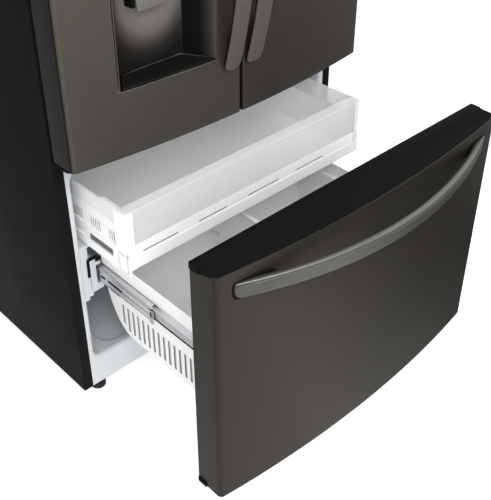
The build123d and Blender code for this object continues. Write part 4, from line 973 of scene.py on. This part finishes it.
for n, o in NODES.items():
    if n in EASED:
        w = o.modifiers.new("weld", "WELD")
        w.merge_threshold = 0.000004
        d = o.modifiers.new("planar", "DECIMATE")
        d.decimate_type = "DISSOLVE"
        d.angle_limit = math.radians(0.5)
        v = o.modifiers.new("edges", "BEVEL")
        v.width = EASED[n] * 0.001
        v.segments = 2
        v.limit_method = "ANGLE"
        v.angle_limit = math.radians(40)
        v.use_clamp_overlap = True
    w = o.modifiers.new("smooth", "NODES")
    w.node_group = SMOOTH

# ============================================================ floor and light
bpy.context.scene.view_settings.view_transform = "Standard"
bpy.context.scene.view_settings.look = "None"
fm, fnt, fb = new_mat("floor")
fn = noise(fnt, coords(fnt), 3.0, 2.0, 0.5)
fnt.links.new(ramp(fnt, fn, [(0.3, (0.88, 0.88, 0.88)), (0.7, (0.90, 0.90, 0.90))]), fb.inputs["Base Color"])
fb.inputs["Roughness"].default_value = 0.9
fb.inputs["Specular IOR Level"].default_value = 0.1
fb.inputs["Emission Color"].default_value = (1, 1, 1, 1)
fb.inputs["Emission Strength"].default_value = 0.5


def stage_plane(name, x0, x1, y0, y1, z, mat):
    bm = bmesh.new()
    bmesh.ops.create_grid(bm, x_segments=2, y_segments=2, size=0.5)
    me = bpy.data.meshes.new(name)
    bm.to_mesh(me)
    bm.free()
    o = bpy.data.objects.new(name, me)
    o.location = ((x0 + x1) / 2, (y0 + y1) / 2, z)
    o.scale = (x1 - x0, y1 - y0, 1)
    assign(o, mat)
    COLL.objects.link(o)
    return o


stage_plane("floor", -15, 15, -15, 15, 0.0, fm)

# a graded card just over the floor, seen only in reflections: bright at the front left, dark at the right
dm = bpy.data.materials.new("reflection_card")
dm.use_nodes = True
dnt = dm.node_tree
dnt.nodes.clear()
dout, dem = dnt.nodes.new("ShaderNodeOutputMaterial"), dnt.nodes.new("ShaderNodeEmission")
dgeo, dsep = dnt.nodes.new("ShaderNodeNewGeometry"), dnt.nodes.new("ShaderNodeSeparateXYZ")
dmad = dnt.nodes.new("ShaderNodeMath")
dmad.operation = "MULTIPLY_ADD"
dmad.inputs[1].default_value = 0.35
dnt.links.new(dgeo.outputs["Position"], dsep.inputs["Vector"])
dnt.links.new(dsep.outputs["Y"], dmad.inputs[0])
dnt.links.new(dsep.outputs["X"], dmad.inputs[2])
dfac = mapr(dnt, dmad.outputs[0], -1.35, 2.65, 0.0, 1.0)
dnt.links.new(ramp(dnt, dfac, [(0.0, (0.40, 0.40, 0.40)), (0.15, (0.56, 0.56, 0.56)), (0.26, (0.80, 0.80, 0.80)), (0.34, (0.42, 0.42, 0.42)), (0.42, (0.15, 0.15, 0.15)), (0.52, (0.04, 0.04, 0.04)), (0.66, (0.16, 0.16, 0.16)), (1.0, (0.40, 0.40, 0.40))]), dem.inputs["Color"])
dem.inputs["Strength"].default_value = 1.0
dnt.links.new(dem.outputs["Emission"], dout.inputs["Surface"])
card = stage_plane("card", -15, 15, -15, 15, 0.004, dm)
card.visible_camera = card.visible_diffuse = card.visible_shadow = card.visible_transmission = False
card.visible_volume_scatter = False

world = bpy.data.worlds.new("studio")
bpy.context.scene.world = world
world.use_nodes = True
bg = world.node_tree.nodes["Background"]
wlp, wout = world.node_tree.nodes.new("ShaderNodeLightPath"), world.node_tree.nodes["World Output"]
wsky, wmix = world.node_tree.nodes.new("ShaderNodeBackground"), world.node_tree.nodes.new("ShaderNodeMixShader")
wsky.inputs["Color"].default_value = (1.0, 1.0, 1.0, 1)
wsky.inputs["Strength"].default_value = 1.15
world.node_tree.links.new(wlp.outputs["Is Glossy Ray"], wmix.inputs[0])
world.node_tree.links.new(bg.outputs["Background"], wmix.inputs[1])
world.node_tree.links.new(wsky.outputs["Background"], wmix.inputs[2])
wcam, wmix2 = world.node_tree.nodes.new("ShaderNodeBackground"), world.node_tree.nodes.new("ShaderNodeMixShader")
wcam.inputs["Color"].default_value = (1.0, 1.0, 1.0, 1)
wcam.inputs["Strength"].default_value = 1.1
world.node_tree.links.new(wlp.outputs["Is Camera Ray"], wmix2.inputs[0])
world.node_tree.links.new(wmix.outputs["Shader"], wmix2.inputs[1])
world.node_tree.links.new(wcam.outputs["Background"], wmix2.inputs[2])
world.node_tree.links.new(wmix2.outputs["Shader"], wout.inputs["Surface"])
bg.inputs["Color"].default_value = (1.0, 1.0, 1.0, 1)
bg.inputs["Strength"].default_value = 0.55


def area(name, loc, target, size, power, size_y=None, color=(1, 1, 1)):
    d = bpy.data.lights.new(name, "AREA")
    d.energy = power
    d.size = size
    d.color = color
    if size_y:
        d.shape = "RECTANGLE"
        d.size_y = size_y
    o = bpy.data.objects.new(name, d)
    o.location = loc
    o.rotation_mode = "QUATERNION"
    o.rotation_quaternion = (Vector(target) - Vector(loc)).to_track_quat("-Z", "Y")
    COLL.objects.link(o)
    return o


area("key", (-2.4, -3.6, 2.9), (0, -0.3, 0.6), 2.6, 95)
area("fill", (-0.6, -2.8, 3.5), (0, -0.35, 0.5), 2.4, 75)
area("top", (0.0, -0.6, 4.4), (0, -0.4, 0), 3.0, 25)
